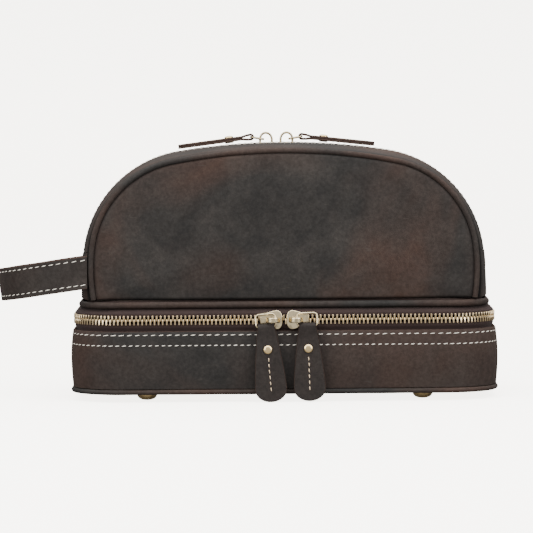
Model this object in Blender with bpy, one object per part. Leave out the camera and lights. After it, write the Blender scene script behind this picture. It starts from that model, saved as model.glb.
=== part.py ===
"""Leather shaving kit bag with a domed main compartment over a zipped tray.

Metres, +Z up, -Y is the front. The origin is the centre of the flat underside of the base panel.
Every leather, lining, zip and metal piece is an object of its own. Moving pieces are parented to an
empty on their joint's axis.
"""

import math

import bmesh
import bpy
from mathutils import Matrix, Vector

for old in list(bpy.data.objects):
    bpy.data.objects.remove(old, do_unlink=True)

# Tray, the lower compartment
TRAY_X = 0.1343  # half length of the wall's outline
TRAY_Y = 0.0653  # half depth
TRAY_CORNER = 0.034
TRAY_TOP = 0.0402
WALL_FOOT = 0.0040
LEATHER = 0.0020
BASE_X = 0.1319
BASE_Y = 0.0629
BASE_CORNER = 0.0316
BASE_FLAT_X = 0.078  # the base sags to a flat field of this half length
BASE_FLAT_Y = 0.036
WELT_R = 0.0016
FOOT_X = 0.087
FOOT_Y = 0.046
FOOT_DROP = 0.0042
STUD_R = 0.0018
STUD_HOLE_R = 0.0021

# Zip chain, measured from its centre line
CHAIN_Z = 0.0471
CHAIN_IN = 0.0020  # how far the chain lies inside the tray's outline
TEETH_HALF = 0.0012
ROW_GAP = 0.0008
ROW_REACH = 0.0030
ZIP_BACK_X = 0.092  # the zip stops here on the back
LEAF_X = 0.086
HINGE_Y = TRAY_Y - CHAIN_IN
HINGE_Z = 0.0483

# Upper compartment
RIM_X = 0.1279
RIM_Y = 0.0599
RIM_CORNER = 0.024
RIM_Z = 0.0565
RIM_R = 0.0021
PIPING_R = 0.00175
PIPING_Y = 0.0545
UPPER_FOOT = 0.0597
MOUTH_Y = -0.0585
MOUTH_Z = 0.0595
SKIN = 0.0018
LINING = 0.0007

# Arch of the piping and arch of the gusset's crest: radii and angles of three tangent arcs
PIPING_TOP = 0.1528
PIPING_RADII = (0.370, 0.0624, 0.120)
PIPING_ANGLES = (11.0, 84.0)
CREST_TOP = 0.1570
CREST_RADII = (0.430, 0.0725, 0.300)
CREST_ANGLES = (9.0, 84.0)
BULGE_POWER = 2.2

# Zip over the crest
TOP_CHAIN_DEPTH = 0.0026
TOP_MEET_X = -0.0041

# Slider, ring and pull
SLIDER_LENGTH = 0.0140
PLATE_NEAR = 0.00155
PLATE_FAR = 0.00275
RING_X = 0.0062
RING_Z = 0.0041
RING_CORNER = 0.0010
WIRE_R = 0.0006
RING_LIFT = 0.00475
PULL_LENGTH = 0.0469
LAYER = 0.0013
LAYER_MID = 0.0008
LOOP_R = 0.00155
RIVET_DROP = 0.0146

# Hand strap
STRAP_ROOT_X = -0.1238
STRAP_REACH = 0.0578
STRAP_Y = 0.0538
STRAP_ROOT_Z = 0.0771
STRAP_HALF = 0.0104
STRAP_THICK = 0.0024
STRAP_DROOP = math.radians(8.1)
STRAP_BACK_DROP = 0.0040  # the back end is sewn lower than the front end

LOOKS = {
    "leather_body": ((0.060, 0.045, 0.040), 0.55, 0.0),
    "leather_trim": ((0.085, 0.055, 0.045), 0.55, 0.0),
    "leather_strap": ((0.055, 0.045, 0.041), 0.55, 0.0),
    "lining_fabric": ((0.080, 0.060, 0.045), 0.90, 0.0),
    "board": ((0.150, 0.120, 0.090), 0.85, 0.0),
    "zip_tape": ((0.030, 0.020, 0.018), 0.90, 0.0),
    "brass_teeth": ((0.550, 0.420, 0.220), 0.35, 1.0),
    "brass_bright": ((0.780, 0.720, 0.560), 0.22, 1.0),
    "brass_antique": ((0.330, 0.250, 0.140), 0.38, 1.0),
}


def give_look(obj, look):
    """Gives the object a material of its own with the look's colour, roughness and metal."""
    color, rough, metal = LOOKS[look]
    mat = bpy.data.materials.new(f"{obj.name}_{look}")
    mat.use_nodes = True
    shader = mat.node_tree.nodes["Principled BSDF"]
    shader.inputs["Base Color"].default_value = (*color, 1.0)
    shader.inputs["Roughness"].default_value = rough
    shader.inputs["Metallic"].default_value = metal
    mat.diffuse_color = (*color, 1.0)
    obj.data.materials.clear()
    obj.data.materials.append(mat)


# ---------------------------------------------------------------- empties on the joint axes

PIVOTS = {}


def pivot(name, world, parent=None):
    """An empty at a world matrix or point, parented to another pivot."""
    empty = bpy.data.objects.new(name, None)
    empty.empty_display_size = 0.01
    bpy.context.collection.objects.link(empty)
    matrix = world if isinstance(world, Matrix) else Matrix.Translation(world)
    PIVOTS[name] = matrix
    if parent:
        empty.parent = bpy.data.objects[parent]
        matrix = PIVOTS[parent].inverted() @ matrix
    empty.matrix_local = matrix
    return name


def link(name, mesh, parent, local=None):
    """A new object of the mesh under a pivot."""
    obj = bpy.data.objects.new(name, mesh)
    bpy.context.collection.objects.link(obj)
    obj.parent = bpy.data.objects[parent]
    if local is not None:
        obj.matrix_local = local
    return obj


# ---------------------------------------------------------------- shape helpers


def loft_mesh(name, rings, closed=False, ladder=False):
    """A closed body through rings of equal length. Open lofts get a cap at each end.

    A ladder cap joins each point to the one opposite, for long thin sections that bend.
    """
    bm = bmesh.new()
    rows = [[bm.verts.new(p) for p in ring] for ring in rings]
    count = len(rings[0])
    spans = len(rows) if closed else len(rows) - 1
    for i in range(spans):
        one = rows[i]
        two = rows[(i + 1) % len(rows)]
        for j in range(count):
            k = (j + 1) % count
            bm.faces.new((one[j], one[k], two[k], two[j]))
    for row in () if closed else (rows[0], rows[-1]):
        if not ladder:
            bm.faces.new(row)
            continue
        for j in range(count // 2 - 1):
            bm.faces.new((row[j], row[j + 1], row[count - 2 - j], row[count - 1 - j]))
    bmesh.ops.recalc_face_normals(bm, faces=bm.faces)
    mesh = bpy.data.meshes.new(name)
    bm.to_mesh(mesh)
    bm.free()
    return mesh


def body(name, look, parent, rings, closed=False, ladder=False):
    """A lofted piece whose rings are in world coordinates."""
    back = PIVOTS[parent].inverted()
    local = [[back @ Vector(p) for p in ring] for ring in rings]
    obj = link(name, loft_mesh(name, local, closed, ladder), parent)
    give_look(obj, look)
    return obj


def outline(half_x, half_y, corner, steps=8):
    """Points with outward normals round a rectangle with round corners, from the back left."""
    points = []
    for sx, sy, start in ((-1, 1, 90), (-1, -1, 180), (1, -1, 270), (1, 1, 0)):
        for i in range(steps + 1):
            angle = math.radians(start + 90 * i / steps)
            nx = math.cos(angle)
            ny = math.sin(angle)
            x = sx * (half_x - corner) + corner * nx
            y = sy * (half_y - corner) + corner * ny
            points.append((x, y, nx, ny))
    return points


def zip_path():
    """The tray's outline with its back cut open between the zip's two ends."""
    start = (-ZIP_BACK_X, TRAY_Y, 0.0, 1.0)
    end = (ZIP_BACK_X, TRAY_Y, 0.0, 1.0)
    return [start, *outline(TRAY_X, TRAY_Y, TRAY_CORNER), end]


def along(path, section):
    """Rings of a section, given as (out, z) points, carried along a path in plan."""
    return [[(x + nx * o, y + ny * o, z) for o, z in section] for x, y, nx, ny in path]


def strip(line, thick):
    """A section of the given thickness on the inner side of a line of (out, z) points."""
    inner = []
    for i, point in enumerate(line):
        before = Vector(line[max(i - 1, 0)])
        after = Vector(line[min(i + 1, len(line) - 1)])
        run = (after - before).normalized()
        inner.append((point[0] - thick * run.y, point[1] + thick * run.x))
    return list(line) + inner[::-1]


def circle(radius, count=10):
    """Points on a circle as (out, up) pairs."""
    turn = 2 * math.pi / count
    return [(radius * math.cos(i * turn), radius * math.sin(i * turn)) for i in range(count)]


def plate_rings(levels):
    """Rings at rising heights, each level being (half_x, half_y, corner, z)."""
    rings = []
    for half_x, half_y, corner, z in levels:
        rings.append([(x, y, z) for x, y, _, _ in outline(half_x, half_y, corner)])
    return rings


def lathe_mesh(name, profile, axis, steps=20):
    """A solid turned from (radius, height) points about local Z or Y, closed at both ends."""
    rings = []
    for radius, height in profile:
        ring = []
        for i in range(steps):
            angle = 2 * math.pi * i / steps
            a = radius * math.cos(angle)
            b = radius * math.sin(angle)
            ring.append((a, b, height) if axis == "Z" else (a, height, b))
        rings.append(ring)
    return loft_mesh(name, rings)


def cut_mesh(name, mesh, others, operation):
    """The mesh after exact Booleans with other meshes in the same coordinates."""
    base = bpy.data.objects.new(name, mesh)
    bpy.context.collection.objects.link(base)
    tools = []
    for i, other in enumerate(others):
        tool = bpy.data.objects.new(f"{name}_tool_{i}", other)
        bpy.context.collection.objects.link(tool)
        tools.append(tool)
        step = base.modifiers.new(f"step_{i}", "BOOLEAN")
        step.operation = operation
        step.solver = "EXACT"
        step.object = tool
    bpy.context.view_layer.update()
    shown = base.evaluated_get(bpy.context.evaluated_depsgraph_get())
    result = bpy.data.meshes.new_from_object(shown)
    result.name = name
    for obj in [base, *tools]:
        bpy.data.objects.remove(obj, do_unlink=True)
    return result


# ---------------------------------------------------------------- arches


def arch_arcs(top, radii, angles):
    """Centres, radii and angle ranges of the three tangent arcs of the right half."""
    first, second = (math.radians(a) for a in angles)
    centre = Vector((0.0, top - radii[0]))
    arcs = [(centre, radii[0], 0.0, first)]
    joint = centre + radii[0] * Vector((math.sin(first), math.cos(first)))
    centre = joint - radii[1] * Vector((math.sin(first), math.cos(first)))
    arcs.append((centre, radii[1], first, second))
    joint = centre + radii[1] * Vector((math.sin(second), math.cos(second)))
    centre = joint - radii[2] * Vector((math.sin(second), math.cos(second)))
    last = math.acos((UPPER_FOOT - centre.y) / radii[2])
    arcs.append((centre, radii[2], second, last))
    return arcs


PIPING_ARCS = arch_arcs(PIPING_TOP, PIPING_RADII, PIPING_ANGLES)
CREST_ARCS = arch_arcs(CREST_TOP, CREST_RADII, CREST_ANGLES)


def arch_point(arcs, number, share, inset=0.0):
    """A point (x, z) and its normal on arc 0, 1 or 2 of the right half."""
    centre, radius, start, end = arcs[number]
    angle = start + (end - start) * share
    normal = Vector((math.sin(angle), math.cos(angle)))
    return centre + (radius - inset) * normal, normal


def arch_stops(first, last):
    """Stops (side, arc, share) from the left foot over the top to the right foot."""
    right = []
    for number, steps in ((0, 6), (1, 11), (2, 4)):
        for i in range(steps):
            right.append((number, i / steps))
    right.append((2, 1.0))
    right = [s for s in right if first <= s[0] + s[1] <= last]
    left = [(-1, n, t) for n, t in reversed(right) if n + t > 0]
    return left + [(1, n, t) for n, t in right]


def arch_line(arcs, stops, inset=0.0):
    """World (x, z) points and normals for a list of stops."""
    line = []
    for side, number, share in stops:
        point, normal = arch_point(arcs, number, share, inset)
        line.append((side * point.x, point.y, side * normal.x, normal.y))
    return line


def gusset_rings(stops, low, high, count, thick):
    """Sections of the gusset between two depths (y), bulging from the piping to the crest."""
    rings = []
    for side, number, share in stops:
        ring = []
        for inset, order in ((0.0, 1), (thick, -1)):
            edge, _ = arch_point(PIPING_ARCS, number, share, inset)
            crest, _ = arch_point(CREST_ARCS, number, share, inset)
            row = []
            for i in range(count + 1):
                y = low + (high - low) * i / count
                bulge = (1 - abs(y / PIPING_Y) ** BULGE_POWER) ** (1 / BULGE_POWER)
                point = edge + (crest - edge) * bulge
                row.append((side * point.x, y, point.y))
            ring += row[::order]
        rings.append(ring)
    return rings


def crest_rings(stops, low, high, above, below):
    """A flat band under the crest, from depth y low to high, between two insets."""
    rings = []
    for x, z, nx, nz in arch_line(CREST_ARCS, stops):
        top = (x - nx * above, z - nz * above)
        bottom = (x - nx * below, z - nz * below)
        rings.append(
            [
                (top[0], low, top[1]),
                (top[0], high, top[1]),
                (bottom[0], high, bottom[1]),
                (bottom[0], low, bottom[1]),
            ]
        )
    return rings


FULL = arch_stops(0.0, 3.0)
OVER = arch_stops(0.0, 2.0)
LEFT_END = [(-1, 2, t) for t in (0.015, 0.25, 0.5, 0.75, 1.0)]
RIGHT_END = [(1, 2, t) for t in (0.015, 0.25, 0.5, 0.75, 1.0)]


def panel_depth(x, z):
    """How far forward the rim of the front panel lies at (x, z)."""
    low = max(0.0, 1.0 - (z - UPPER_FOOT) / 0.055) ** 1.5
    wide = 1.0 - min(1.0, abs(x) / 0.119) ** 2.5
    return 0.0556 + 0.0038 * low * wide


def panel_rings(side):
    """A pillowed panel inside the arch piping. side is -1 for the front and +1 for the back."""
    edge = [(x, z) for x, z, _, _ in arch_line(PIPING_ARCS, FULL, PIPING_R + 0.00035)]
    steps = 12
    first, last = edge[-1], edge[0]
    for i in range(1, steps):
        edge.append((first[0] + (last[0] - first[0]) * i / steps, UPPER_FOOT))
    centre = Vector((0.0, 0.100))
    rings = []
    shares = (0.14, 0.32, 0.50, 0.66, 0.80, 0.91, 1.0)
    for share, inner in [(s, 0.0) for s in shares] + [(s, SKIN) for s in shares[::-1]]:
        ring = []
        for x, z in edge:
            point = centre + (Vector((x, z)) - centre) * share
            depth = panel_depth(point.x, point.y) + 0.0036 * (1 - share**2.4) - inner
            ring.append((point.x, side * depth, point.y))
        rings.append(ring)
    return rings


def arch_tube(y):
    """Rings of the arch piping on the plane at depth y."""
    rings = []
    for x, z, nx, nz in arch_line(PIPING_ARCS, FULL):
        rings.append([(x + nx * o, y + d, z + nz * o) for o, d in circle(PIPING_R, 8)])
    return rings


def lining_rings(side):
    """A flat lining inside the arch, close behind a panel."""
    line = arch_line(PIPING_ARCS, arch_stops(0.0, 2.6), 0.0050)
    ring = [(x, max(z, 0.0640)) for x, z, _, _ in line]
    near = side * 0.0513
    far = side * (0.0513 + LINING)
    return [[(x, near, z) for x, z in ring], [(x, far, z) for x, z in ring]]


# ---------------------------------------------------------------- pivots of the rigid bodies

pivot("tray_body", Vector((0, 0, 0)))
pivot("lid_axis", Vector((0, HINGE_Y, HINGE_Z)), "tray_body")
pivot("mouth_axis", Vector((0, MOUTH_Y, MOUTH_Z)), "lid_axis")
pivot("strap_axis", Vector((-0.1242, 0, 0.0875)), "lid_axis")

# ---------------------------------------------------------------- tray

stud_cuts = []
for sx, sy in ((-1, -1), (1, -1), (1, 1), (-1, 1)):
    hole = lathe_mesh("hole", [(STUD_HOLE_R, -0.004), (STUD_HOLE_R, 0.012)], "Z", 16)
    hole.transform(Matrix.Translation((sx * FOOT_X, sy * FOOT_Y, 0)))
    stud_cuts.append(hole)

base_levels = [
    (BASE_FLAT_X, BASE_FLAT_Y, 0.024, 0.0),
    (BASE_X, BASE_Y, BASE_CORNER, 0.0012),
    (BASE_X, BASE_Y, BASE_CORNER, 0.0030),
]
base_mesh = loft_mesh("base_panel", plate_rings(base_levels))
base = link("base_panel", cut_mesh("base_panel", base_mesh, stud_cuts, "DIFFERENCE"), "tray_body")
give_look(base, "leather_body")

board_levels = [(0.129, 0.060, 0.0287, 0.0033), (0.129, 0.060, 0.0287, 0.0045)]
board_mesh = loft_mesh("base_stiffener", plate_rings(board_levels))
board = link(
    "base_stiffener", cut_mesh("base_stiffener", board_mesh, stud_cuts, "DIFFERENCE"), "tray_body"
)
give_look(board, "board")

welt_path = outline(TRAY_X - 0.0004, TRAY_Y - 0.0004, TRAY_CORNER - 0.0004)
welt_section = [(o, 0.0020 + u) for o, u in circle(WELT_R)]
body("base_piping", "leather_trim", "tray_body", along(welt_path, welt_section), closed=True)

wall_line = [(0.0, WALL_FOOT), (0.0007, 0.012), (0.0010, 0.022), (0.0006, 0.032)]
wall_line.append((-0.0003, TRAY_TOP))
wall_section = wall_line + [(o - LEATHER, z) for o, z in wall_line[::-1]]
tray_path = outline(TRAY_X, TRAY_Y, TRAY_CORNER)
body("tray_wall", "leather_body", "tray_body", along(tray_path, wall_section), closed=True)

lining_levels = [
    (TRAY_X - 0.0042, TRAY_Y - 0.0042, TRAY_CORNER - 0.0042, 0.0066),
    (TRAY_X - 0.0042, TRAY_Y - 0.0042, TRAY_CORNER - 0.0042, 0.0385),
    (TRAY_X - 0.0049, TRAY_Y - 0.0049, TRAY_CORNER - 0.0049, 0.0385),
    (TRAY_X - 0.0049, TRAY_Y - 0.0049, TRAY_CORNER - 0.0049, 0.0074),
]
body("tray_lining", "lining_fabric", "tray_body", plate_rings(lining_levels))

foot_profile = [
    (0.0025, -FOOT_DROP),
    (0.0045, -0.0037),
    (0.0058, -0.0026),
    (0.0064, -0.0012),
    (0.0064, -0.0003),
    (STUD_R, -0.0003),
    (STUD_R, 0.0061),
]
washer_profile = [(0.0022, 0.0048), (0.0045, 0.0048), (0.0043, 0.0056), (0.0022, 0.0056)]
foot_mesh = lathe_mesh("foot", foot_profile, "Z")
washer_rings = []
for i in range(20):
    angle = 2 * math.pi * i / 20
    spin = (math.cos(angle), math.sin(angle))
    washer_rings.append([(r * spin[0], r * spin[1], h) for r, h in washer_profile])
washer_mesh = loft_mesh("washer", washer_rings, closed=True)
for number, (sx, sy) in enumerate(((-1, -1), (1, -1), (1, 1), (-1, 1)), start=1):
    place = Matrix.Translation((sx * FOOT_X, sy * FOOT_Y, 0))
    foot = link(f"foot_{number}", foot_mesh, "tray_body", place)
    washer = link(f"foot_washer_{number}", washer_mesh, "tray_body", place)
    if number == 1:
        give_look(foot, "brass_antique")
        give_look(washer, "brass_antique")

tape_out = -CHAIN_IN + 0.00035
tray_tape = [(-0.0028, 0.031), (-0.0028, 0.0408), (tape_out, 0.0426), (tape_out, 0.0437)]
tray_tape_rings = along(zip_path(), strip(tray_tape, LINING))
body("lower_zip_tape_tray", "zip_tape", "tray_body", tray_tape_rings)


def teeth_section(low, high):
    """The section of one row of teeth between two heights."""
    out = -CHAIN_IN + TEETH_HALF
    back = -CHAIN_IN - TEETH_HALF
    return [(out, low), (out, high), (back, high), (back, low)]


row_low = teeth_section(CHAIN_Z - ROW_REACH, CHAIN_Z - ROW_GAP)
body("lower_zip_teeth_tray", "brass_teeth", "tray_body", along(zip_path(), row_low))

leaf_path = [(-LEAF_X, TRAY_Y, 0.0, 1.0), (LEAF_X, TRAY_Y, 0.0, 1.0)]
leaf_low = [(-0.0027, 0.0310), (-0.0027, 0.0410), (-0.0014, 0.0430), (-0.0014, HINGE_Z - 0.0009)]
body("hinge_leaf_tray", "leather_trim", "tray_body", along(leaf_path, strip(leaf_low, 0.0012)))

for side, name in ((-1, "left"), (1, "right")):
    near = side * (ZIP_BACK_X - 0.0004)
    far = side * (LEAF_X + 0.0006)
    stop_path = [(near, TRAY_Y, 0.0, 1.0), (far, TRAY_Y, 0.0, 1.0)]
    stop_section = teeth_section(0.0415, CHAIN_Z - ROW_GAP)
    body(f"lower_zip_stop_{name}", "brass_antique", "tray_body", along(stop_path, stop_section))

# ---------------------------------------------------------------- upper compartment

rim_path = outline(RIM_X, RIM_Y, RIM_CORNER)
rim_section = [(o, RIM_Z + u) for o, u in circle(RIM_R)]
body("rim_piping", "leather_trim", "lid_axis", along(rim_path, rim_section), closed=True)

upper_tape = [
    (tape_out, 0.05045),
    (tape_out, 0.0516),
    (-0.0062, 0.0540),
    (-0.0089, 0.0556),
    (-0.0089, 0.0592),
]
body("lower_zip_tape_upper", "zip_tape", "lid_axis", along(zip_path(), strip(upper_tape, LINING)))
row_high = teeth_section(CHAIN_Z + ROW_GAP, CHAIN_Z + ROW_REACH)
body("lower_zip_teeth_upper", "brass_teeth", "lid_axis", along(zip_path(), row_high))

leaf_high = [
    (-0.0014, HINGE_Z + 0.0009),
    (-0.0014, 0.0514),
    (-0.0059, 0.0539),
    (-0.0087, 0.0556),
    (-0.0087, 0.0592),
]
body("hinge_leaf_upper", "leather_trim", "lid_axis", along(leaf_path, strip(leaf_high, 0.0012)))

floor_levels = [(0.1240, 0.0550, 0.026, 0.0582), (0.1240, 0.0550, 0.026, 0.0602)]
body("floor_panel", "board", "lid_axis", plate_rings(floor_levels))
cup_levels = [
    (0.1165, 0.0480, 0.020, 0.0605),
    (0.1165, 0.0480, 0.020, 0.0740),
    (0.1157, 0.0472, 0.0192, 0.0740),
    (0.1157, 0.0472, 0.0192, 0.0613),
]
body("main_lining", "lining_fabric", "lid_axis", plate_rings(cup_levels))

GUSSET_Y = 0.0523
body("back_panel", "leather_body", "lid_axis", panel_rings(1))
body("back_piping", "leather_trim", "lid_axis", arch_tube(PIPING_Y))
gusset_back = gusset_rings(OVER, 0.0072, GUSSET_Y, 7, SKIN)
body("gusset_back", "leather_body", "lid_axis", gusset_back, ladder=True)
end_left = gusset_rings(LEFT_END, -GUSSET_Y, GUSSET_Y, 14, SKIN)
body("gusset_end_left", "leather_body", "lid_axis", end_left, ladder=True)
end_right = gusset_rings(RIGHT_END, -GUSSET_Y, GUSSET_Y, 14, SKIN)
body("gusset_end_right", "leather_body", "lid_axis", end_right, ladder=True)
body("back_lining", "lining_fabric", "lid_axis", lining_rings(1))
pocket = [(x, 0.092 + y) for x, y, _, _ in outline(0.080, 0.026, 0.008, 4)]
pocket_rings = [[(x, 0.0498, z) for x, z in pocket], [(x, 0.0506, z) for x, z in pocket]]
body("slip_pocket", "lining_fabric", "lid_axis", pocket_rings)

tape_up = TOP_CHAIN_DEPTH - 0.0003
tape_down = TOP_CHAIN_DEPTH + 0.0003
tooth_up = TOP_CHAIN_DEPTH - TEETH_HALF
tooth_down = TOP_CHAIN_DEPTH + TEETH_HALF
tape_back = crest_rings(OVER, 0.00325, 0.0130, tape_up, tape_down)
body("top_zip_tape_back", "zip_tape", "lid_axis", tape_back)
teeth_back = crest_rings(OVER, ROW_GAP, 0.00295, tooth_up, tooth_down)
body("top_zip_teeth_back", "brass_teeth", "lid_axis", teeth_back)

for side, name in ((-1, "left"), (1, "right")):
    tab_stops = [(side, 2, t) for t in (0.02, 0.20, 0.40)]
    rings = crest_rings(tab_stops, -0.008, 0.008, -0.0016, -0.0003)
    body(f"top_zip_end_{name}", "leather_trim", "lid_axis", rings)

# ---------------------------------------------------------------- front of the upper, which opens

body("front_panel", "leather_body", "mouth_axis", panel_rings(-1))
body("front_piping", "leather_trim", "mouth_axis", arch_tube(-PIPING_Y))
gusset_front = gusset_rings(OVER, -GUSSET_Y, -0.0072, 7, SKIN)
body("gusset_front", "leather_body", "mouth_axis", gusset_front, ladder=True)
body("front_lining", "lining_fabric", "mouth_axis", lining_rings(-1))
tape_front = crest_rings(OVER, -0.0130, -0.00325, tape_up, tape_down)
body("top_zip_tape_front", "zip_tape", "mouth_axis", tape_front)
teeth_front = crest_rings(OVER, -0.00295, -ROW_GAP, tooth_up, tooth_down)
body("top_zip_teeth_front", "brass_teeth", "mouth_axis", teeth_front)

# ---------------------------------------------------------------- hand strap


def strap_rings(steps=30):
    """Sections of the looped strap from the front seam round its tip to the back seam."""
    rings = []
    for i in range(steps + 1):
        turn = math.pi * i / steps
        out = math.sin(turn)
        run = Vector((-STRAP_REACH * math.cos(turn), STRAP_Y * math.sin(turn), 0)).normalized()
        ease = min(1.0, out * STRAP_REACH / 0.015)
        tilt = STRAP_DROOP * ease * ease * (3 - 2 * ease)
        up = Vector((-math.sin(tilt), 0, math.cos(tilt)))
        drop = STRAP_REACH * out * math.tan(STRAP_DROOP)
        drop += STRAP_BACK_DROP * (1 - math.cos(turn)) / 2
        middle = Vector(
            (STRAP_ROOT_X - STRAP_REACH * out, -STRAP_Y * math.cos(turn), STRAP_ROOT_Z - drop)
        )
        across = Vector((run.y, -run.x, 0))
        ring = []
        for a, b in ((-1, -1), (1, -1), (1, 1), (-1, 1)):
            ring.append(middle + across * (a * STRAP_THICK / 2) + up * (b * STRAP_HALF))
        rings.append(ring)
    return rings


body("hand_strap", "leather_strap", "strap_axis", strap_rings())

# ---------------------------------------------------------------- zip sliders


def prism(name, flat, low, high, turned=False):
    """A flat outline pushed from low to high along local Z, or along local Y if turned."""
    rings = []
    for level in (low, high):
        rings.append([(a, level, b) if turned else (a, b, level) for a, b in flat])
    return loft_mesh(name, rings)


def slider_mesh():
    """Slider body in its own frame: X from the wide end to the narrow end, Z outwards."""
    fan = [(0.0, 0.0030), (0.0009, 0.0050), (0.0026, 0.0060), (0.0050, 0.0059)]
    fan += [(0.0080, 0.0050), (0.0110, 0.0042), (0.0132, 0.0035), (SLIDER_LENGTH, 0.0024)]
    front = fan + [(a, -b) for a, b in fan[::-1]]
    narrow = [(a, min(b, 0.0040)) for a, b in fan]
    back = narrow + [(a, -b) for a, b in narrow[::-1]]
    plate = prism("plate", front, PLATE_NEAR, PLATE_FAR)
    under = prism("under", back, -PLATE_NEAR - 0.0010, -PLATE_NEAR)
    post_flat = [(0.0012, -0.0005), (0.0042, -0.0005), (0.0042, 0.0005), (0.0012, 0.0005)]
    post = prism("post", post_flat, -0.0021, 0.0021)
    arch = [(0.0016, 0.0022), (0.0016, 0.0056), (0.0029, 0.0082), (0.0048, 0.0093)]
    arch += [(0.0072, 0.0093), (0.0090, 0.0082), (0.0102, 0.0056), (0.0102, 0.0022)]
    arch += [(0.0092, 0.0022), (0.0092, 0.0054), (0.0082, 0.0074), (0.0068, 0.0083)]
    arch += [(0.0051, 0.0083), (0.0038, 0.0074), (0.0026, 0.0054), (0.0026, 0.0022)]
    bail = prism("bail", arch, -0.00165, 0.00165, turned=True)
    return cut_mesh("slider", plate, [under, post, bail], "UNION")


def ring_mesh():
    """Wire ring in its own frame: a rounded rectangle in the XZ plane."""
    rings = []
    for x, z, nx, nz in outline(RING_X, RING_Z, RING_CORNER, 5):
        rings.append([(x + nx * o, d, z + nz * o) for o, d in circle(WIRE_R, 8)])
    return loft_mesh("ring", rings, closed=True)


def pull_width(z):
    """Half width of the pull at a height below the ring's bar."""
    stops = [(0.003, 0.0053), (-0.0010, 0.0053), (-0.0028, 0.0062), (-0.0146, 0.0076)]
    stops.append((-0.030, 0.0094))
    stops += [(-0.0385, 0.00995), (-0.0420, 0.0092), (-0.0450, 0.0069)]
    stops += [(-0.0465, 0.0040), (-PULL_LENGTH, 0.0016)]
    for (za, wa), (zb, wb) in zip(stops, stops[1:]):
        if zb <= z <= za:
            return wa + (wb - wa) * (z - za) / (zb - za)
    return stops[-1][1]


def pull_mesh():
    """A leather strip folded over the ring's bar, which lies on the local X axis."""
    path = []
    for z in (-PULL_LENGTH, -0.0465, -0.0450, -0.0420, -0.0385, -0.034, -0.030, -0.022):
        path.append(Vector((-LAYER_MID, z)))
    path += [Vector((-LAYER_MID, -0.0146)), Vector((-LAYER_MID, -0.0055))]
    path.append(Vector((-0.00135, -0.0026)))
    for i in range(9):
        angle = math.radians(190 - 200 * i / 8)
        path.append(Vector((LOOP_R * math.cos(angle), LOOP_R * math.sin(angle))))
    path += [Vector((-p.x, p.y)) for p in path[10::-1]]
    rings = []
    for i, point in enumerate(path):
        run = (path[min(i + 1, len(path) - 1)] - path[max(i - 1, 0)]).normalized()
        side = Vector((-run.y, run.x)) * (LAYER / 2)
        half = pull_width(point.y)
        near = point + side
        far = point - side
        ring = [(-half, near.x, near.y), (half, near.x, near.y)]
        ring += [(half, far.x, far.y), (-half, far.x, far.y)]
        rings.append(ring)
    leather = loft_mesh("pull_blank", rings)
    hole = lathe_mesh("rivet_hole", [(0.00125, -0.004), (0.00125, 0.004)], "Y", 12)
    hole.transform(Matrix.Translation((0, 0, -RIVET_DROP)))
    return cut_mesh("pull", leather, [hole], "DIFFERENCE")


def rivet_mesh():
    """Rivet with a domed cap in front and a thin cap behind, turned about local Y."""
    profile = [(0.0007, -0.00255), (0.0019, -0.0024), (0.0028, -0.0020), (0.00305, -0.0016)]
    profile += [(0.0010, -0.0016), (0.0010, 0.0016), (0.00305, 0.0016), (0.0028, 0.0021)]
    profile.append((0.0008, 0.0021))
    return lathe_mesh("rivet", profile, "Y", 18)


def frame_of(origin, x_axis, z_axis):
    """A matrix from an origin, an X axis and a Z axis."""
    x_axis = Vector(x_axis).normalized()
    z_axis = Vector(z_axis).normalized()
    y_axis = z_axis.cross(x_axis)
    turn = Matrix((x_axis, y_axis, z_axis)).transposed().to_4x4()
    return Matrix.Translation(origin) @ turn


CREST_CENTRE = Vector((0, 0, CREST_TOP - CREST_RADII[0]))
CHAIN_RADIUS = CREST_RADII[0] - TOP_CHAIN_DEPTH


def top_frame(side, meet):
    """Frame of a crest slider whose wide end is at x = meet."""
    middle = meet + side * SLIDER_LENGTH / 2
    angle = math.asin(middle / CHAIN_RADIUS)
    normal = Vector((math.sin(angle), 0, math.cos(angle)))
    run = Vector((side * math.cos(angle), 0, -side * math.sin(angle)))
    origin = CREST_CENTRE + normal * CHAIN_RADIUS - run * (SLIDER_LENGTH / 2)
    return frame_of(origin, run, normal)


slider = slider_mesh()
ring = ring_mesh()
pull = pull_mesh()
rivet = rivet_mesh()
RIVET_PLACE = Matrix.Translation((0, 0, -RIVET_DROP))


def dress(tag, parent, slider_frame, ring_pivot, ring_world, pull_world, first):
    """Links one slider with its ring, pull and rivet, each under its own pivot."""
    slide = pivot(f"{tag}_slider_axis", slider_frame, parent)
    hang = pivot(f"{tag}_ring_axis", ring_pivot, slide)
    bar = pivot(f"{tag}_pull_axis", pull_world, hang)
    pieces = [link(f"{tag}_slider", slider, slide)]
    pieces.append(link(f"{tag}_ring", ring, hang, ring_pivot.inverted() @ ring_world))
    pieces.append(link(f"{tag}_pull", pull, bar))
    pieces.append(link(f"{tag}_rivet", rivet, bar, RIVET_PLACE))
    if first:
        for piece, look in zip(pieces, ("brass_bright", "brass_bright", "leather_body")):
            give_look(piece, look)
        give_look(pieces[3], "brass_bright")


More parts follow.
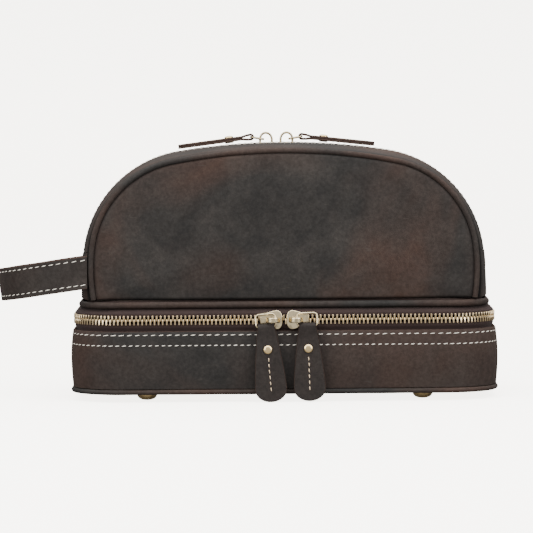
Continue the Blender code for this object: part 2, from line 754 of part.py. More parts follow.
FRONT_CHAIN_Y = -(TRAY_Y - CHAIN_IN)
LOWER = (("lower_left", -1, 0.0044, -4.3), ("lower_right", 1, 0.00675, -1.7))
for tag, side, wire, lean in LOWER:
    meet = Vector((side * 0.0013, FRONT_CHAIN_Y, CHAIN_Z))
    frame = frame_of(meet, (side, 0, 0), (0, -1, 0))
    hook = Vector((side * (0.0013 + wire), FRONT_CHAIN_Y - RING_LIFT, CHAIN_Z))
    turn = Matrix.Rotation(math.radians(lean), 4, "Y")
    swing = Matrix.Translation(hook) @ turn @ Matrix.Rotation(math.radians(-8.0), 4, "X")
    ring_world = swing @ Matrix.Translation((side * RING_X, 0, 0))
    bar = ring_world @ Vector((0, 0, -RING_Z))
    pull_world = Matrix.Translation(bar) @ turn @ Matrix.Rotation(math.radians(-2.0), 4, "X")
    dress(tag, "tray_body", frame, swing, ring_world, pull_world, side == -1)

TOP = (("top_left", -1, TOP_MEET_X - 0.0006, 7.3), ("top_right", 1, TOP_MEET_X + 0.0006, 6.2))
for tag, side, meet, dip in TOP:
    frame = top_frame(side, meet)
    hook = frame @ Vector((0.0076, 0, RING_LIFT))
    run = Vector((side, 0, 0))
    tilt = math.radians(10.0)
    # the ring's own down direction points outwards along the crest and a little up
    down = run * math.cos(tilt) + Vector((0, 0, 1)) * math.sin(tilt)
    ring_pivot = frame_of(hook, Vector((0, side, 0)), -down)
    ring_world = ring_pivot @ Matrix.Translation((0, 0, -RING_Z))
    bar = ring_world @ Vector((0, 0, -RING_Z))
    fall = math.radians(dip)
    low = run * math.cos(fall) - Vector((0, 0, 1)) * math.sin(fall)
    pull_world = frame_of(bar, Vector((0, side, 0)), -low)
    dress(tag, "mouth_axis", frame, ring_pivot, ring_world, pull_world, False)
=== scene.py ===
"""Looks of a leather shaving kit bag, built round its packed frame.

Metres, +Z up, -Y is the front. Every piece keeps its place in its mesh. A piece given a body by
name rides on it, and the others are baked where they stand.
"""

import math

import bmesh
import bpy
from mathutils import Matrix, Vector, noise


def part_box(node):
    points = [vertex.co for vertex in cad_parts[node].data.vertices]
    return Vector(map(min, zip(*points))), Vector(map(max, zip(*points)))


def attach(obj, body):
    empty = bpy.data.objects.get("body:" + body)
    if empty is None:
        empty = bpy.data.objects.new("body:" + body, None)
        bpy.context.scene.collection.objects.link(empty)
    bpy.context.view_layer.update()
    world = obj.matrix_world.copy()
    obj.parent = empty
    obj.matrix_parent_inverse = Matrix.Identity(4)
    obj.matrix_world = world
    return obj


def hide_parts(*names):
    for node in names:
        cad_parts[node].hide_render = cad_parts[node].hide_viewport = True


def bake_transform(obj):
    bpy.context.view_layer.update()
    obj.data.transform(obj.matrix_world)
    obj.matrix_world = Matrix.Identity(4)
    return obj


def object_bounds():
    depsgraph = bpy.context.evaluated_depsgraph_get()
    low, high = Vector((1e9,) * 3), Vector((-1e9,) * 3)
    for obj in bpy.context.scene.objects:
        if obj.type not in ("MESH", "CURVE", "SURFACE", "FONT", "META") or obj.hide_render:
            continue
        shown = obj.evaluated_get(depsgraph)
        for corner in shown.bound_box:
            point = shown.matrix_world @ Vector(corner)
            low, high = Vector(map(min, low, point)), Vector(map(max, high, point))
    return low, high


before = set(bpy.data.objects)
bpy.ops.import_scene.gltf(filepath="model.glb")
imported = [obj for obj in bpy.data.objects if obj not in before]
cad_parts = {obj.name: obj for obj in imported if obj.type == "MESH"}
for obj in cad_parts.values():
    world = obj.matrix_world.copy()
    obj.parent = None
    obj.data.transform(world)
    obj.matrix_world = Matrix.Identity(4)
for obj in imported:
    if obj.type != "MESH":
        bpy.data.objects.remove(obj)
CAD_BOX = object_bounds()

bl_info = {
    "name": "Shaving Kit Bag",
    "version": (1, 0, 0),
    "blender": (4, 5, 0),
    "location": "View3D > Sidebar > Kit Bag",
    "description": "Builds the leather, lining, zips and metal of a shaving kit bag round its frame",
    "category": "Add Mesh",
}


def top_of(node):
    """Highest corner of a node of the frame."""
    return Vector(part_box(node)[1])


def foot_of(node):
    """Lowest corner of a node of the frame."""
    return Vector(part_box(node)[0])


# ------------------------------------------------------------------ sizes shared by several pieces

# Tray
WELT_R = 0.0016
TRAY_X = top_of("base_piping").x - WELT_R + 0.0004
TRAY_Y = top_of("base_piping").y - WELT_R + 0.0004
TRAY_CORNER = 0.034
TRAY_TOP = top_of("tray_wall").z
WALL_FOOT = foot_of("tray_wall").z
WALL_BULGE = 0.00105
WALL_THICK = 0.0020

# Zip chain
CHAIN_IN = 0.0020
CHAIN_Z = (foot_of("lower_zip_teeth_tray").z + top_of("lower_zip_teeth_upper").z) / 2
ZIP_BACK_X = 0.092
TAPE_THICK = 0.0007

# Upper compartment
RIM_R = 0.0021
RIM_X = top_of("rim_piping").x - RIM_R
RIM_Y = top_of("rim_piping").y - RIM_R
RIM_CORNER = 0.024
RIM_Z = top_of("rim_piping").z - RIM_R
PIPING_R = 0.00175
PIPING_Y = top_of("back_piping").y - PIPING_R
PIPING_TOP = top_of("back_piping").z - PIPING_R
UPPER_FOOT = 0.0597
CREST_TOP = 0.1570
SKIN = 0.0018
BULGE_POWER = 2.2
GUSSET_Y = 0.0523
TOP_CHAIN_DEPTH = 0.0026

# Where the opening front leaves the fixed ends, as heights
TEAR_LOW = 0.094
TEAR_HIGH = 0.142

# Slider, ring and pull
SLIDER_LENGTH = 0.0140
RING_X = 0.0062
RING_Z = 0.0041
RING_CORNER = 0.0022
WIRE_R = 0.00062
RING_LIFT = 0.00475
PULL_LENGTH = 0.0469
RIVET_DROP = 0.0146
LAYER = 0.0013
LAYER_MID = 0.00066
LOOP_R = 0.00155

# Hand strap
STRAP_ROOT_X = -0.1238
STRAP_REACH = 0.0578
STRAP_Y = 0.0538
STRAP_ROOT_Z = 0.0771
STRAP_HALF = 0.0104
STRAP_DROOP = math.radians(8.1)
STRAP_BACK_DROP = 0.0040  # the back end is sewn lower than the front end


# ------------------------------------------------------------------ properties


def tint(name, text, value):
    """A colour property."""
    return bpy.props.FloatVectorProperty(
        name=name, description=text, default=value, subtype="COLOR", size=3, min=0.0, max=1.0
    )


def length(name, text, value):
    """A length property."""
    return bpy.props.FloatProperty(
        name=name, description=text, default=value, unit="LENGTH", subtype="DISTANCE", precision=5
    )


def amount(name, text, value, top=1.0):
    """A plain number property."""
    return bpy.props.FloatProperty(name=name, description=text, default=value, min=0.0, max=top)


class KitBagLeather(bpy.types.PropertyGroup):
    """Leather colours and surface."""

    dark: tint("Dark", "Oiled dark tone of the leather", (0.0250, 0.0235, 0.0225))
    warm: tint("Warm", "Red-brown tone where the wax has moved", (0.074, 0.040, 0.029))
    pale: tint("Pale", "Grey bloom of wax on the surface", (0.066, 0.057, 0.051))
    raw: tint("Raw edge", "Cut edge of the leather", (0.066, 0.043, 0.035))
    wave: length("Wave", "Height of slow unevenness in soft panels", 0.00035)


class KitBagThread(bpy.types.PropertyGroup):
    """Sewing thread."""

    cream: tint("Thread", "Colour of the waxed thread", (0.95, 0.90, 0.79))
    orange: tint("Pull thread", "Colour of stained thread", (0.86, 0.66, 0.44))
    width: length("Width", "Thickness of the thread", 0.00062)
    rim_pitch: length("Rim pitch", "Stitch length of the row beside the tray's edge", 0.0050)
    wall_pitch: length("Wall pitch", "Stitch length of the row lower on the tray", 0.0041)
    crest_pitch: length("Crest pitch", "Stitch length beside the top zip", 0.0040)
    strap_pitch: length("Strap pitch", "Stitch length of the hand strap", 0.0049)


class KitBagZip(bpy.types.PropertyGroup):
    """Zip chain and tape."""

    pitch: length("Tooth pitch", "Distance between teeth of one row", 0.00257)
    tooth: length("Tooth width", "Width of one tooth along the chain", 0.00112)
    tape: tint("Tape", "Colour of the woven tape", (0.020, 0.013, 0.012))
    brass: tint("Teeth", "Colour of the teeth", (0.86, 0.68, 0.42))


class KitBagMetal(bpy.types.PropertyGroup):
    """Bright and dark metal."""

    bright: tint("Bright", "Sliders, rings and rivets", (0.88, 0.74, 0.48))
    # painted shade: a darker copy of the bright brass, used for the sliders and rings of the top zip
    shaded_brass: tint("Shaded brass", "Sliders and rings of the top zip", (0.56, 0.46, 0.29))
    rivet: tint("Rivet", "Rivet caps", (0.90, 0.68, 0.36))
    antique: tint("Antique", "Feet and stops", (0.36, 0.26, 0.13))


class KitBagStage(bpy.types.PropertyGroup):
    """Floor, light and camera."""

    floor: tint("Floor", "Colour of the floor and backdrop", (0.90, 0.885, 0.85))
    distance: length("Distance", "Distance of the camera from the bag", 2.4)
    lens: amount("Lens", "Focal length in millimetres", 252.1, 500.0)
    glow: amount("Paper glow", "Light the paper itself gives", 4.8, 10.0)
    key: amount("Key light", "Power of the large overhead light in watts", 12.0, 500.0)
    fill: amount("Fill light", "Power of each side light in watts", 17.0, 500.0)
    world: amount("Surroundings", "Strength of the even surrounding light", 2.8, 10.0)


# ------------------------------------------------------------------ material tools


def add(tree, kind, inputs=None, **settings):
    """Adds a node, sets it up and links or fills its sockets."""
    node = tree.nodes.new(kind)
    for key, value in settings.items():
        setattr(node, key, value)
    for key, value in (inputs or {}).items():
        if isinstance(value, bpy.types.NodeSocket):
            tree.links.new(value, node.inputs[key])
        else:
            node.inputs[key].default_value = value
    return node


def mix(tree, factor, one, two, mode="MIX"):
    """Mixes two colours."""
    node = add(tree, "ShaderNodeMix", data_type="RGBA", blend_type=mode)
    for number, value in ((0, factor), (6, one), (7, two)):
        if isinstance(value, bpy.types.NodeSocket):
            tree.links.new(value, node.inputs[number])
        elif number == 0:
            node.inputs[0].default_value = value
        else:
            node.inputs[number].default_value = (*value, 1.0)
    return node.outputs[2]


def level(tree, value, low, high, to_low=0.0, to_high=1.0):
    """Maps a value from one range to another, clamped."""
    node = add(
        tree,
        "ShaderNodeMapRange",
        {0: value, 1: low, 2: high, 3: to_low, 4: to_high},
        clamp=True,
    )
    return node.outputs[0]


def math_node(tree, operation, one, two=0.0):
    """One arithmetic step."""
    return add(tree, "ShaderNodeMath", {0: one, 1: two}, operation=operation).outputs[0]


def new_material(name, roughness, metallic=0.0, sheen=0.0, coat=0.0):
    """A material whose even values are set on the shader's own sockets."""
    material = bpy.data.materials.new(name)
    material.use_nodes = True
    tree = material.node_tree
    shader = tree.nodes["Principled BSDF"]
    shader.inputs["Roughness"].default_value = roughness
    shader.inputs["Metallic"].default_value = metallic
    shader.inputs["Sheen Weight"].default_value = sheen
    shader.inputs["Coat Weight"].default_value = coat
    shader.inputs["Coat Roughness"].default_value = 0.35
    return material, tree, shader


def noise_node(tree, vector, scale, detail=3.0, rough=0.5, twist=0.0):
    """Cloudy noise."""
    node = add(
        tree,
        "ShaderNodeTexNoise",
        {"Vector": vector, "Scale": scale, "Detail": detail, "Roughness": rough, "Distortion": twist},
    )
    return node.outputs["Fac"]


def bump_of(tree, shader, height, strength, distance):
    """Feeds a height into the shader's normal."""
    bump = add(
        tree, "ShaderNodeBump", {"Height": height, "Strength": strength, "Distance": distance}
    )
    tree.links.new(bump.outputs["Normal"], shader.inputs["Normal"])


def leather_material(name, shift, warmth, bloom):
    """Waxed pull-up leather. shift moves the pattern, warmth and bloom weigh its tones."""
    care = bpy.context.scene.kit_bag_leather
    material, tree, shader = new_material(name, 0.5)
    shader.inputs["Specular IOR Level"].default_value = 0.07
    place = add(tree, "ShaderNodeTexCoord").outputs["Object"]
    moved = add(
        tree, "ShaderNodeMapping", {"Vector": place, "Location": (shift, shift * 0.7, shift * 0.4)}
    ).outputs[0]
    clouds = noise_node(tree, moved, 10.0, 3.0, 0.5, 0.6)
    patches = noise_node(tree, moved, 46.0, 5.0, 0.62, 0.3)
    fine = noise_node(tree, moved, 420.0, 4.0, 0.7)
    dark = tuple(care.dark)
    warm = tuple(care.warm)
    pale = tuple(care.pale)
    tone = mix(tree, level(tree, clouds, 0.40, 0.66, 0.0, warmth), dark, warm)
    tone = mix(tree, level(tree, patches, 0.40, 0.80, 0.0, bloom), tone, pale)
    speck = level(tree, fine, 0.35, 0.75, 0.78, 1.22)
    speck_color = add(tree, "ShaderNodeCombineColor", {0: speck, 1: speck, 2: speck}).outputs[0]
    tone = mix(tree, 1.0, tone, speck_color, "MULTIPLY")
    # long pale pull marks
    stretched = add(
        tree,
        "ShaderNodeMapping",
        {"Vector": moved, "Rotation": (0.3, 0.5, 0.2), "Scale": (60.0, 240.0, 420.0)},
    ).outputs[0]
    marks = level(tree, noise_node(tree, stretched, 1.0, 2.0, 0.5, 0.8), 0.69, 0.80, 0.0, 0.35)
    tone = mix(tree, marks, tone, pale)
    edge = add(tree, "ShaderNodeAttribute", attribute_name="edge").outputs["Fac"]
    raw = mix(tree, level(tree, fine, 0.3, 0.8), tuple(care.raw), tuple(c * 0.6 for c in care.raw))
    tone = mix(tree, edge, tone, raw)
    shade = add(tree, "ShaderNodeAttribute", attribute_name="shade").outputs["Fac"]
    tone = mix(tree, shade, tone, tuple(c * 0.22 for c in dark))
    tree.links.new(tone, shader.inputs["Base Color"])
    rough = math_node(tree, "ADD", level(tree, patches, 0.3, 0.8, 0.54, 0.68), math_node(
        tree, "MULTIPLY", edge, 0.3))
    tree.links.new(rough, shader.inputs["Roughness"])
    pores = add(
        tree, "ShaderNodeTexVoronoi", {"Vector": moved, "Scale": 1150.0}, feature="DISTANCE_TO_EDGE"
    ).outputs["Distance"]
    grain = math_node(tree, "ADD", level(tree, pores, 0.0, 0.25, 0.0, 0.6), fine)
    grain = math_node(tree, "ADD", grain, math_node(tree, "MULTIPLY", patches, 1.5))
    bump_of(tree, shader, grain, 0.22, 0.00035)
    return material


def thread_material(name, color):
    """Twisted waxed thread."""
    material, tree, shader = new_material(name, 0.62, sheen=0.1)
    place = add(tree, "ShaderNodeTexCoord").outputs["Object"]
    dirt = noise_node(tree, place, 160.0, 3.0)
    tone = mix(tree, level(tree, dirt, 0.45, 0.75, 0.0, 0.45), color, tuple(c * 0.45 for c in color))
    tree.links.new(tone, shader.inputs["Base Color"])
    twist = add(
        tree,
        "ShaderNodeTexWave",
        {"Vector": place, "Scale": 900.0, "Distortion": 0.5},
        bands_direction="DIAGONAL",
    ).outputs["Fac"]
    bump_of(tree, shader, twist, 0.5, 0.0001)
    return material


def tape_material(name, color):
    """Herringbone tape. The UV map runs along and across the tape in metres."""
    material, tree, shader = new_material(name, 0.9, sheen=0.05)
    shader.inputs["Specular IOR Level"].default_value = 0.1
    uv = add(tree, "ShaderNodeUVMap", uv_map="UVMap").outputs["UV"]
    parts = add(tree, "ShaderNodeSeparateXYZ", {0: uv})
    across = math_node(tree, "PINGPONG", parts.outputs["Y"], 0.0011)
    diagonal = math_node(tree, "ADD", parts.outputs["X"], math_node(tree, "MULTIPLY", across, 1.3))
    rib = math_node(tree, "SINE", math_node(tree, "MULTIPLY", diagonal, 2 * math.pi / 0.00082))
    height = level(tree, rib, -0.6, 1.0)
    lit = tuple(min(1.0, c * 3.6) for c in color)
    tone = mix(tree, height, tuple(c * 0.6 for c in color), lit)
    place = add(tree, "ShaderNodeTexCoord").outputs["Object"]
    tone = mix(tree, level(tree, noise_node(tree, place, 90.0), 0.4, 0.8, 0.0, 0.5), tone, color)
    tree.links.new(tone, shader.inputs["Base Color"])
    bump_of(tree, shader, height, 0.7, 0.00018)
    return material


def lining_material(name, color):
    """Plain woven lining."""
    material, tree, shader = new_material(name, 0.85, sheen=0.2)
    place = add(tree, "ShaderNodeTexCoord").outputs["Object"]
    weave = None
    for number in range(3):
        parts = add(tree, "ShaderNodeSeparateXYZ", {0: place})
        step = math_node(tree, "MULTIPLY", parts.outputs[number], 2 * math.pi / 0.0008)
        wave = math_node(tree, "SINE", step)
        weave = wave if weave is None else math_node(tree, "ADD", weave, wave)
    height = level(tree, weave, -1.6, 1.6)
    clouds = noise_node(tree, place, 30.0)
    # painted light and shade on the weave: raised threads lighter, low threads darker
    tone = mix(tree, height, tuple(c * 0.7 for c in color), tuple(c * 1.25 for c in color))
    tone = mix(tree, level(tree, clouds, 0.35, 0.7, 0.0, 0.4), tone, tuple(c * 0.6 for c in color))
    tree.links.new(tone, shader.inputs["Base Color"])
    bump_of(tree, shader, height, 0.5, 0.0001)
    return material


def metal_material(name, color, roughness, dirt, wear=0.2):
    """Plated metal with fine marks and darker tarnish."""
    material, tree, shader = new_material(name, roughness, metallic=1.0)
    place = add(tree, "ShaderNodeTexCoord").outputs["Object"]
    stain = noise_node(tree, place, 340.0, 3.0)
    scratch = noise_node(tree, place, 2600.0, 2.0)
    dim = tuple(c * (1.0 - dirt) for c in color)
    tone = mix(tree, level(tree, stain, 0.42, 0.72), color, dim)
    tree.links.new(tone, shader.inputs["Base Color"])
    rough = level(tree, stain, 0.3, 0.8, roughness * 0.75, roughness * 1.5)
    tree.links.new(rough, shader.inputs["Roughness"])
    bump_of(tree, shader, scratch, wear, 0.00003)
    return material


def board_material(name):
    """Pressed fibre board."""
    material, tree, shader = new_material(name, 0.9)
    place = add(tree, "ShaderNodeTexCoord").outputs["Object"]
    fibre = noise_node(tree, place, 700.0, 5.0, 0.7)
    tone = mix(tree, level(tree, fibre, 0.35, 0.7), (0.11, 0.085, 0.06), (0.19, 0.155, 0.115))
    tree.links.new(tone, shader.inputs["Base Color"])
    bump_of(tree, shader, fibre, 0.5, 0.0002)
    return material


LOOKS = {}


def make_looks():
    """Makes every material of the bag once."""
    scene = bpy.context.scene
    zips = scene.kit_bag_zip
    metal = scene.kit_bag_metal
    thread = scene.kit_bag_thread
    LOOKS["panel"] = leather_material("panel_leather", 0.13, 0.75, 0.50)
    LOOKS["tray"] = leather_material("tray_leather", 1.57, 0.40, 0.30)
    LOOKS["trim"] = leather_material("trim_leather", 2.41, 0.60, 0.35)
    LOOKS["strap"] = leather_material("strap_leather", 3.30, 0.25, 0.65)
    LOOKS["pull"] = leather_material("pull_leather", 4.12, 0.12, 0.22)
    LOOKS["thread"] = thread_material("cream_thread", tuple(thread.cream))
    LOOKS["pull_thread"] = thread_material("stained_thread", tuple(thread.orange))
    LOOKS["tape"] = tape_material("zip_tape", tuple(zips.tape))
    LOOKS["lining"] = lining_material("woven_lining", (0.085, 0.062, 0.046))
    LOOKS["teeth"] = metal_material("brass_teeth", tuple(zips.brass), 0.24, 0.55)
    LOOKS["bright"] = metal_material("bright_metal", tuple(metal.bright), 0.20, 0.45, 0.1)
    # painted shade: the top zip's brass is the bright metal made darker
    LOOKS["shaded_brass"] = metal_material("shaded_brass", tuple(metal.shaded_brass), 0.24, 0.5, 0.1)
    LOOKS["rivet"] = metal_material("rivet_brass", tuple(metal.rivet), 0.24, 0.15, 0.1)
    LOOKS["antique"] = metal_material("antique_brass", tuple(metal.antique), 0.30, 0.6)
    LOOKS["board"] = board_material("fibre_board")


# ------------------------------------------------------------------ mesh tools


def show(name, bm, look, body, nodes=(), slot=None, sharp=40.0):
    """Turns a bmesh into a finished piece that rides on a body given by name, or is baked in place,
    and may stand for nodes.
    """
    mesh = bpy.data.meshes.new(name)
    bm.to_mesh(mesh)
    bm.free()
    mesh.shade_smooth()
    mesh.set_sharp_from_angle(angle=math.radians(sharp))
    mesh.materials.append(LOOKS[look])
    piece = bpy.data.objects.new(name, mesh)
    bpy.context.collection.objects.link(piece)
    if isinstance(body, str):
        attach(piece, body)
    else:
        low_body, high_body, start, end = body
        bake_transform(piece)
        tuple(start)
        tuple(end)
    if nodes:
        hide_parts(*nodes)
    return piece


def front_bend():
    """The upper body, the front flap's body, and two points on the front at the heights where they
    part.
    """
    y = -PIPING_Y
    return ("upper", "front_flap", (0.0, y, TEAR_LOW), (0.0, y, TEAR_HIGH))


def grid(across, along, place, size=(1.0, 1.0), edge=None, shade=None):
    """A closed or open sheet: a grid whose point (i, j) is carried to place(i, j).

    size is its length along i and j in metres for the UV map. edge and shade give 0 to 1 for a point.
    """
    bm = bmesh.new()
    bmesh.ops.create_grid(bm, x_segments=across, y_segments=along, size=0.5, calc_uvs=True)
    uv = bm.loops.layers.uv.verify()
    marks = []
    for layer_name, rule in (("edge", edge), ("shade", shade)):
        if rule:
            marks.append((bm.verts.layers.float.new(layer_name), rule))
    spots = {}
    for vert in bm.verts:
        i = round((vert.co.x + 0.5) * across)
        j = round((vert.co.y + 0.5) * along)
        spots[vert] = (i, j)
    for face in bm.faces:
        for loop in face.loops:
            i, j = spots[loop.vert]
            loop[uv].uv = (size[0] * i / across, size[1] * j / along)
    for vert, (i, j) in spots.items():
        vert.co = place(i, j)
        for layer, rule in marks:
            vert[layer] = rule(i, j)
    bmesh.ops.remove_doubles(bm, verts=bm.verts, dist=0.000002)
    return bm


def close(bm):
    """Fills open ends and turns every face outwards."""
    rim = [e for e in bm.edges if e.is_boundary]
    if rim:
        bmesh.ops.holes_fill(bm, edges=rim, sides=0)
    bmesh.ops.recalc_face_normals(bm, faces=bm.faces)
    return bm


def sweep(stations, section, loop=False, edges=None):
    """Carries a closed section along stations.

    A station is (origin, out, up). section is a list of (out, up) points, or a rule that gives one
    for a station's number. edges is a list of raw-edge shares along the section.
    """
    rule = section if callable(section) else lambda i: section
    count = len(rule(0))
    last = len(stations)
    spans = last if loop else last - 1

    def place(i, j):
        origin, out, up = stations[i % last]
        o, u = rule(i % last)[j % count]
        return origin + out * o + up * u

    run = sum((stations[(i + 1) % last][0] - stations[i][0]).length for i in range(spans))
    first = rule(0)
    girth = sum(math.dist(first[j], first[(j + 1) % count]) for j in range(count))
    mark = (lambda i, j: edges[j % count]) if edges else None
    return close(grid(spans, count, place, (run, girth), mark))


def circle(radius, count):
    """A round section."""
    turn = 2 * math.pi / count
    return [(radius * math.cos(i * turn), radius * math.sin(i * turn)) for i in range(count)]


def slab(width, thick, round_r, steps=3, spread=6):
    """A flat section with rounded edges: (out, up) points with out across its thickness.

    Returns the points and how far each is a raw edge.
    """
    points = []
    edges = []
    for so, su, start in ((1, 1, 0), (-1, 1, 90), (-1, -1, 180), (1, -1, 270)):
        for i in range(steps + 1):
            angle = math.radians(start + 90 * i / steps)
            points.append(
                (
                    so * (thick / 2 - round_r) + round_r * math.cos(angle),
                    su * (width / 2 - round_r) + round_r * math.sin(angle),
                )
            )
            edges.append(1.0)
    # points along the two long faces let the strip curve across its width
    full = []
    flags = []
    for number, (point, flag) in enumerate(zip(points, edges)):
        full.append(point)
        flags.append(flag)
        after = points[(number + 1) % len(points)]
        if abs(after[1] - point[1]) > width * 0.5:
            near = 0.012
            for share in [near] + [i / spread for i in range(1, spread)] + [1 - near]:
                full.append((point[0], point[1] + (after[1] - point[1]) * share))
                flags.append(0.0)
    return full, flags


def waver(point, scale, height, seed=0.0):
    """Slow unevenness at a point."""
    return height * noise.noise(Vector(point) * scale + Vector((seed, seed * 0.37, seed * 0.71)))


def turned(profile, steps=32):
    """A solid turned about Z from (radius, height) points."""
    bm = bmesh.new()
    verts = [bm.verts.new((max(r, 0.0), 0.0, h)) for r, h in profile]
    edges = [bm.edges.new(pair) for pair in zip(verts, verts[1:])]
    bmesh.ops.spin(
        bm,
        geom=verts + edges,
        cent=(0, 0, 0),
        axis=(0, 0, 1),
        angle=2 * math.pi,
        steps=steps,
        use_merge=True,
        use_duplicate=False,
    )
    bmesh.ops.remove_doubles(bm, verts=bm.verts, dist=0.000005)
    return close(bm)


def copies(template, places):
    """Copies of a small bmesh at many places, as one bmesh."""
    small = bpy.data.meshes.new("template")
    template.to_mesh(small)
    template.free()
    bm = bmesh.new()
    for place in places:
        start = len(bm.verts)
        bm.from_mesh(small)
        bm.verts.ensure_lookup_table()
        bmesh.ops.transform(bm, matrix=place, verts=bm.verts[start:])
    bpy.data.meshes.remove(small)
    return bm


def stand(origin, x_axis, z_axis):
    """A matrix from an origin, a run and an outward direction."""
    z_axis = Vector(z_axis).normalized()
    x_axis = Vector(x_axis)
    x_axis = (x_axis - z_axis * x_axis.dot(z_axis)).normalized()
    y_axis = z_axis.cross(x_axis)
    turn = Matrix((x_axis, y_axis, z_axis)).transposed().to_4x4()
    return Matrix.Translation(origin) @ turn


# ------------------------------------------------------------------ lines that pieces follow


def round_box(half_x, half_y, corner, run):
    """Point and outward normal on a round-cornered outline, from mid back over the left end."""
    flat_x = half_x - corner
    flat_y = half_y - corner
    arc = corner * math.pi / 2
    quarter = flat_x + arc + flat_y
    run %= 4 * quarter
    number = min(int(run // quarter), 3)
    rest = run - number * quarter
    if number % 2:
        rest = quarter - rest
    side_x = -1 if number in (0, 1) else 1
    side_y = 1 if number in (0, 3) else -1
    if rest < flat_x:
        x, y, nx, ny = rest, half_y, 0.0, 1.0
    elif rest < flat_x + arc:
        angle = (rest - flat_x) / corner
        nx = math.sin(angle)
        ny = math.cos(angle)
        x = flat_x + corner * nx
        y = flat_y + corner * ny
    else:
        x, y, nx, ny = half_x, flat_y - (rest - flat_x - arc), 1.0, 0.0
    return Vector((side_x * x, side_y * y, 0.0)), Vector((side_x * nx, side_y * ny, 0.0))


def box_length(half_x, half_y, corner):
    """Length round a round-cornered outline."""
    return 4 * (half_x + half_y - 2 * corner + corner * math.pi / 2)


def box_stations(half_x, half_y, corner, z, count, start=0.0, end=None):
    """Stations round an outline at height z, or between two runs along it."""
    total = box_length(half_x, half_y, corner)
    stations = []
    steps = count if end is None else count - 1
    for i in range(count):
        run = start + ((total if end is None else end) - start) * i / steps
        point, out = round_box(half_x, half_y, corner, run)
        stations.append((point + Vector((0, 0, z)), out, Vector((0, 0, 1))))
    return stations


TRAY_RUN = box_length(TRAY_X, TRAY_Y, TRAY_CORNER)
ZIP_START = ZIP_BACK_X
ZIP_END = TRAY_RUN - ZIP_BACK_X


class Arch:
    """Three tangent arcs from the top to the right foot, mirrored to the left."""

    def __init__(self, top, radii, angles):
        turns = [0.0, math.radians(angles[0]), math.radians(angles[1])]
        centre = Vector((0.0, 0.0, top - radii[0]))
        self.arcs = []
        for number, radius in enumerate(radii):
            if number:
                way = Vector((math.sin(turns[number]), 0.0, math.cos(turns[number])))
                centre = centre + way * (radii[number - 1] - radius)
            if number < 2:
                stop = turns[number + 1]
            else:
                stop = math.acos((UPPER_FOOT - centre.z) / radius)
            self.arcs.append((centre, radius, turns[number], stop))
        self.lengths = [radius * (stop - start) for _, radius, start, stop in self.arcs]
        self.shoulder = self.lengths[0] + self.lengths[1]
        self.half = sum(self.lengths)

    def at(self, run):
        """Point and outward normal at a run along the curve, left of the top if negative."""
        side = -1.0 if run < 0 else 1.0
        rest = min(abs(run), self.half)
        number = 0
        while number < 2 and rest > self.lengths[number]:
            rest -= self.lengths[number]
            number += 1
        return self.on(number, rest / self.lengths[number], side)

    def on(self, number, share, side):
        """Point and outward normal at a share of one arc."""
        centre, radius, start, stop = self.arcs[number]
        angle = start + (stop - start) * share
        normal = Vector((math.sin(angle), 0.0, math.cos(angle)))
        point = centre + normal * radius
        return Vector((side * point.x, 0.0, point.z)), Vector((side * normal.x, 0.0, normal.z))


PIPING_ARCH = Arch(PIPING_TOP, (0.370, 0.0624, 0.120), (11.0, 84.0))
CREST_ARCH = Arch(CREST_TOP, (0.430, 0.0725, 0.300), (9.0, 84.0))


def bulge_at(y):
    """Share of the way from the piping's arch to the crest at depth y."""
    return (1 - min(1.0, abs(y) / PIPING_Y) ** BULGE_POWER) ** (1 / BULGE_POWER)


def gusset_point(number, share, side, y, inset=0.0):
    """Point on the gusset's outer skin, or inset below it."""
    low, low_way = PIPING_ARCH.on(number, share, side)
    high, high_way = CREST_ARCH.on(number, share, side)
    low = low - low_way * inset
    high = high - high_way * inset
    point = low + (high - low) * bulge_at(y)
    return Vector((point.x, y, point.z))


def arch_stops(first, last, counts=(20, 36, 14)):
    """Stops (arc, share, side) from the left over the top to the right, by arc number plus share."""
    right = []
    for number, steps in enumerate(counts):
        right += [(number, i / steps) for i in range(steps)]
    right.append((2, 1.0))
    right = [s for s in right if first <= s[0] + s[1] <= last]
    left = [(n, t, -1.0) for n, t in reversed(right) if n + t > 0]
    return left + [(n, t, 1.0) for n, t in right]


OVER = arch_stops(0.0, 2.0)
FULL = arch_stops(0.0, 3.0)


def strap_station(turn):
    """Station on the hand strap's loop, turn from 0 at the front seam to pi at the back seam."""
    out = math.sin(turn)
    run = Vector((-STRAP_REACH * math.cos(turn), STRAP_Y * math.sin(turn), 0)).normalized()
    ease = min(1.0, out * STRAP_REACH / 0.015)
    tilt = STRAP_DROOP * ease * ease * (3 - 2 * ease)
    up = Vector((-math.sin(tilt), 0, math.cos(tilt)))
    drop = STRAP_REACH * out * math.tan(STRAP_DROOP)
    drop += STRAP_BACK_DROP * (1 - math.cos(turn)) / 2
    middle = Vector(
        (STRAP_ROOT_X - STRAP_REACH * out, -STRAP_Y * math.cos(turn), STRAP_ROOT_Z - drop)
    )
    across = Vector((run.y, -run.x, 0))
    return middle, across, up


# ------------------------------------------------------------------ stitches


def stitch_mesh(long, thick):
    """One stitch along X, sunk at both ends, with Z outwards."""
    bm = bmesh.new()
    bmesh.ops.create_uvsphere(bm, u_segments=8, v_segments=6, radius=thick / 2)
    bmesh.ops.rotate(bm, verts=bm.verts, cent=(0, 0, 0), matrix=Matrix.Rotation(math.pi / 2, 3, "Y"))
    half = long / 2 - thick / 2
    for vert in bm.verts:
        if abs(vert.co.x) > thick * 0.01:
            vert.co.x += math.copysign(half, vert.co.x)
            vert.co.z -= thick * 0.22 * min(1.0, abs(vert.co.x) / (long / 2))
    return bm


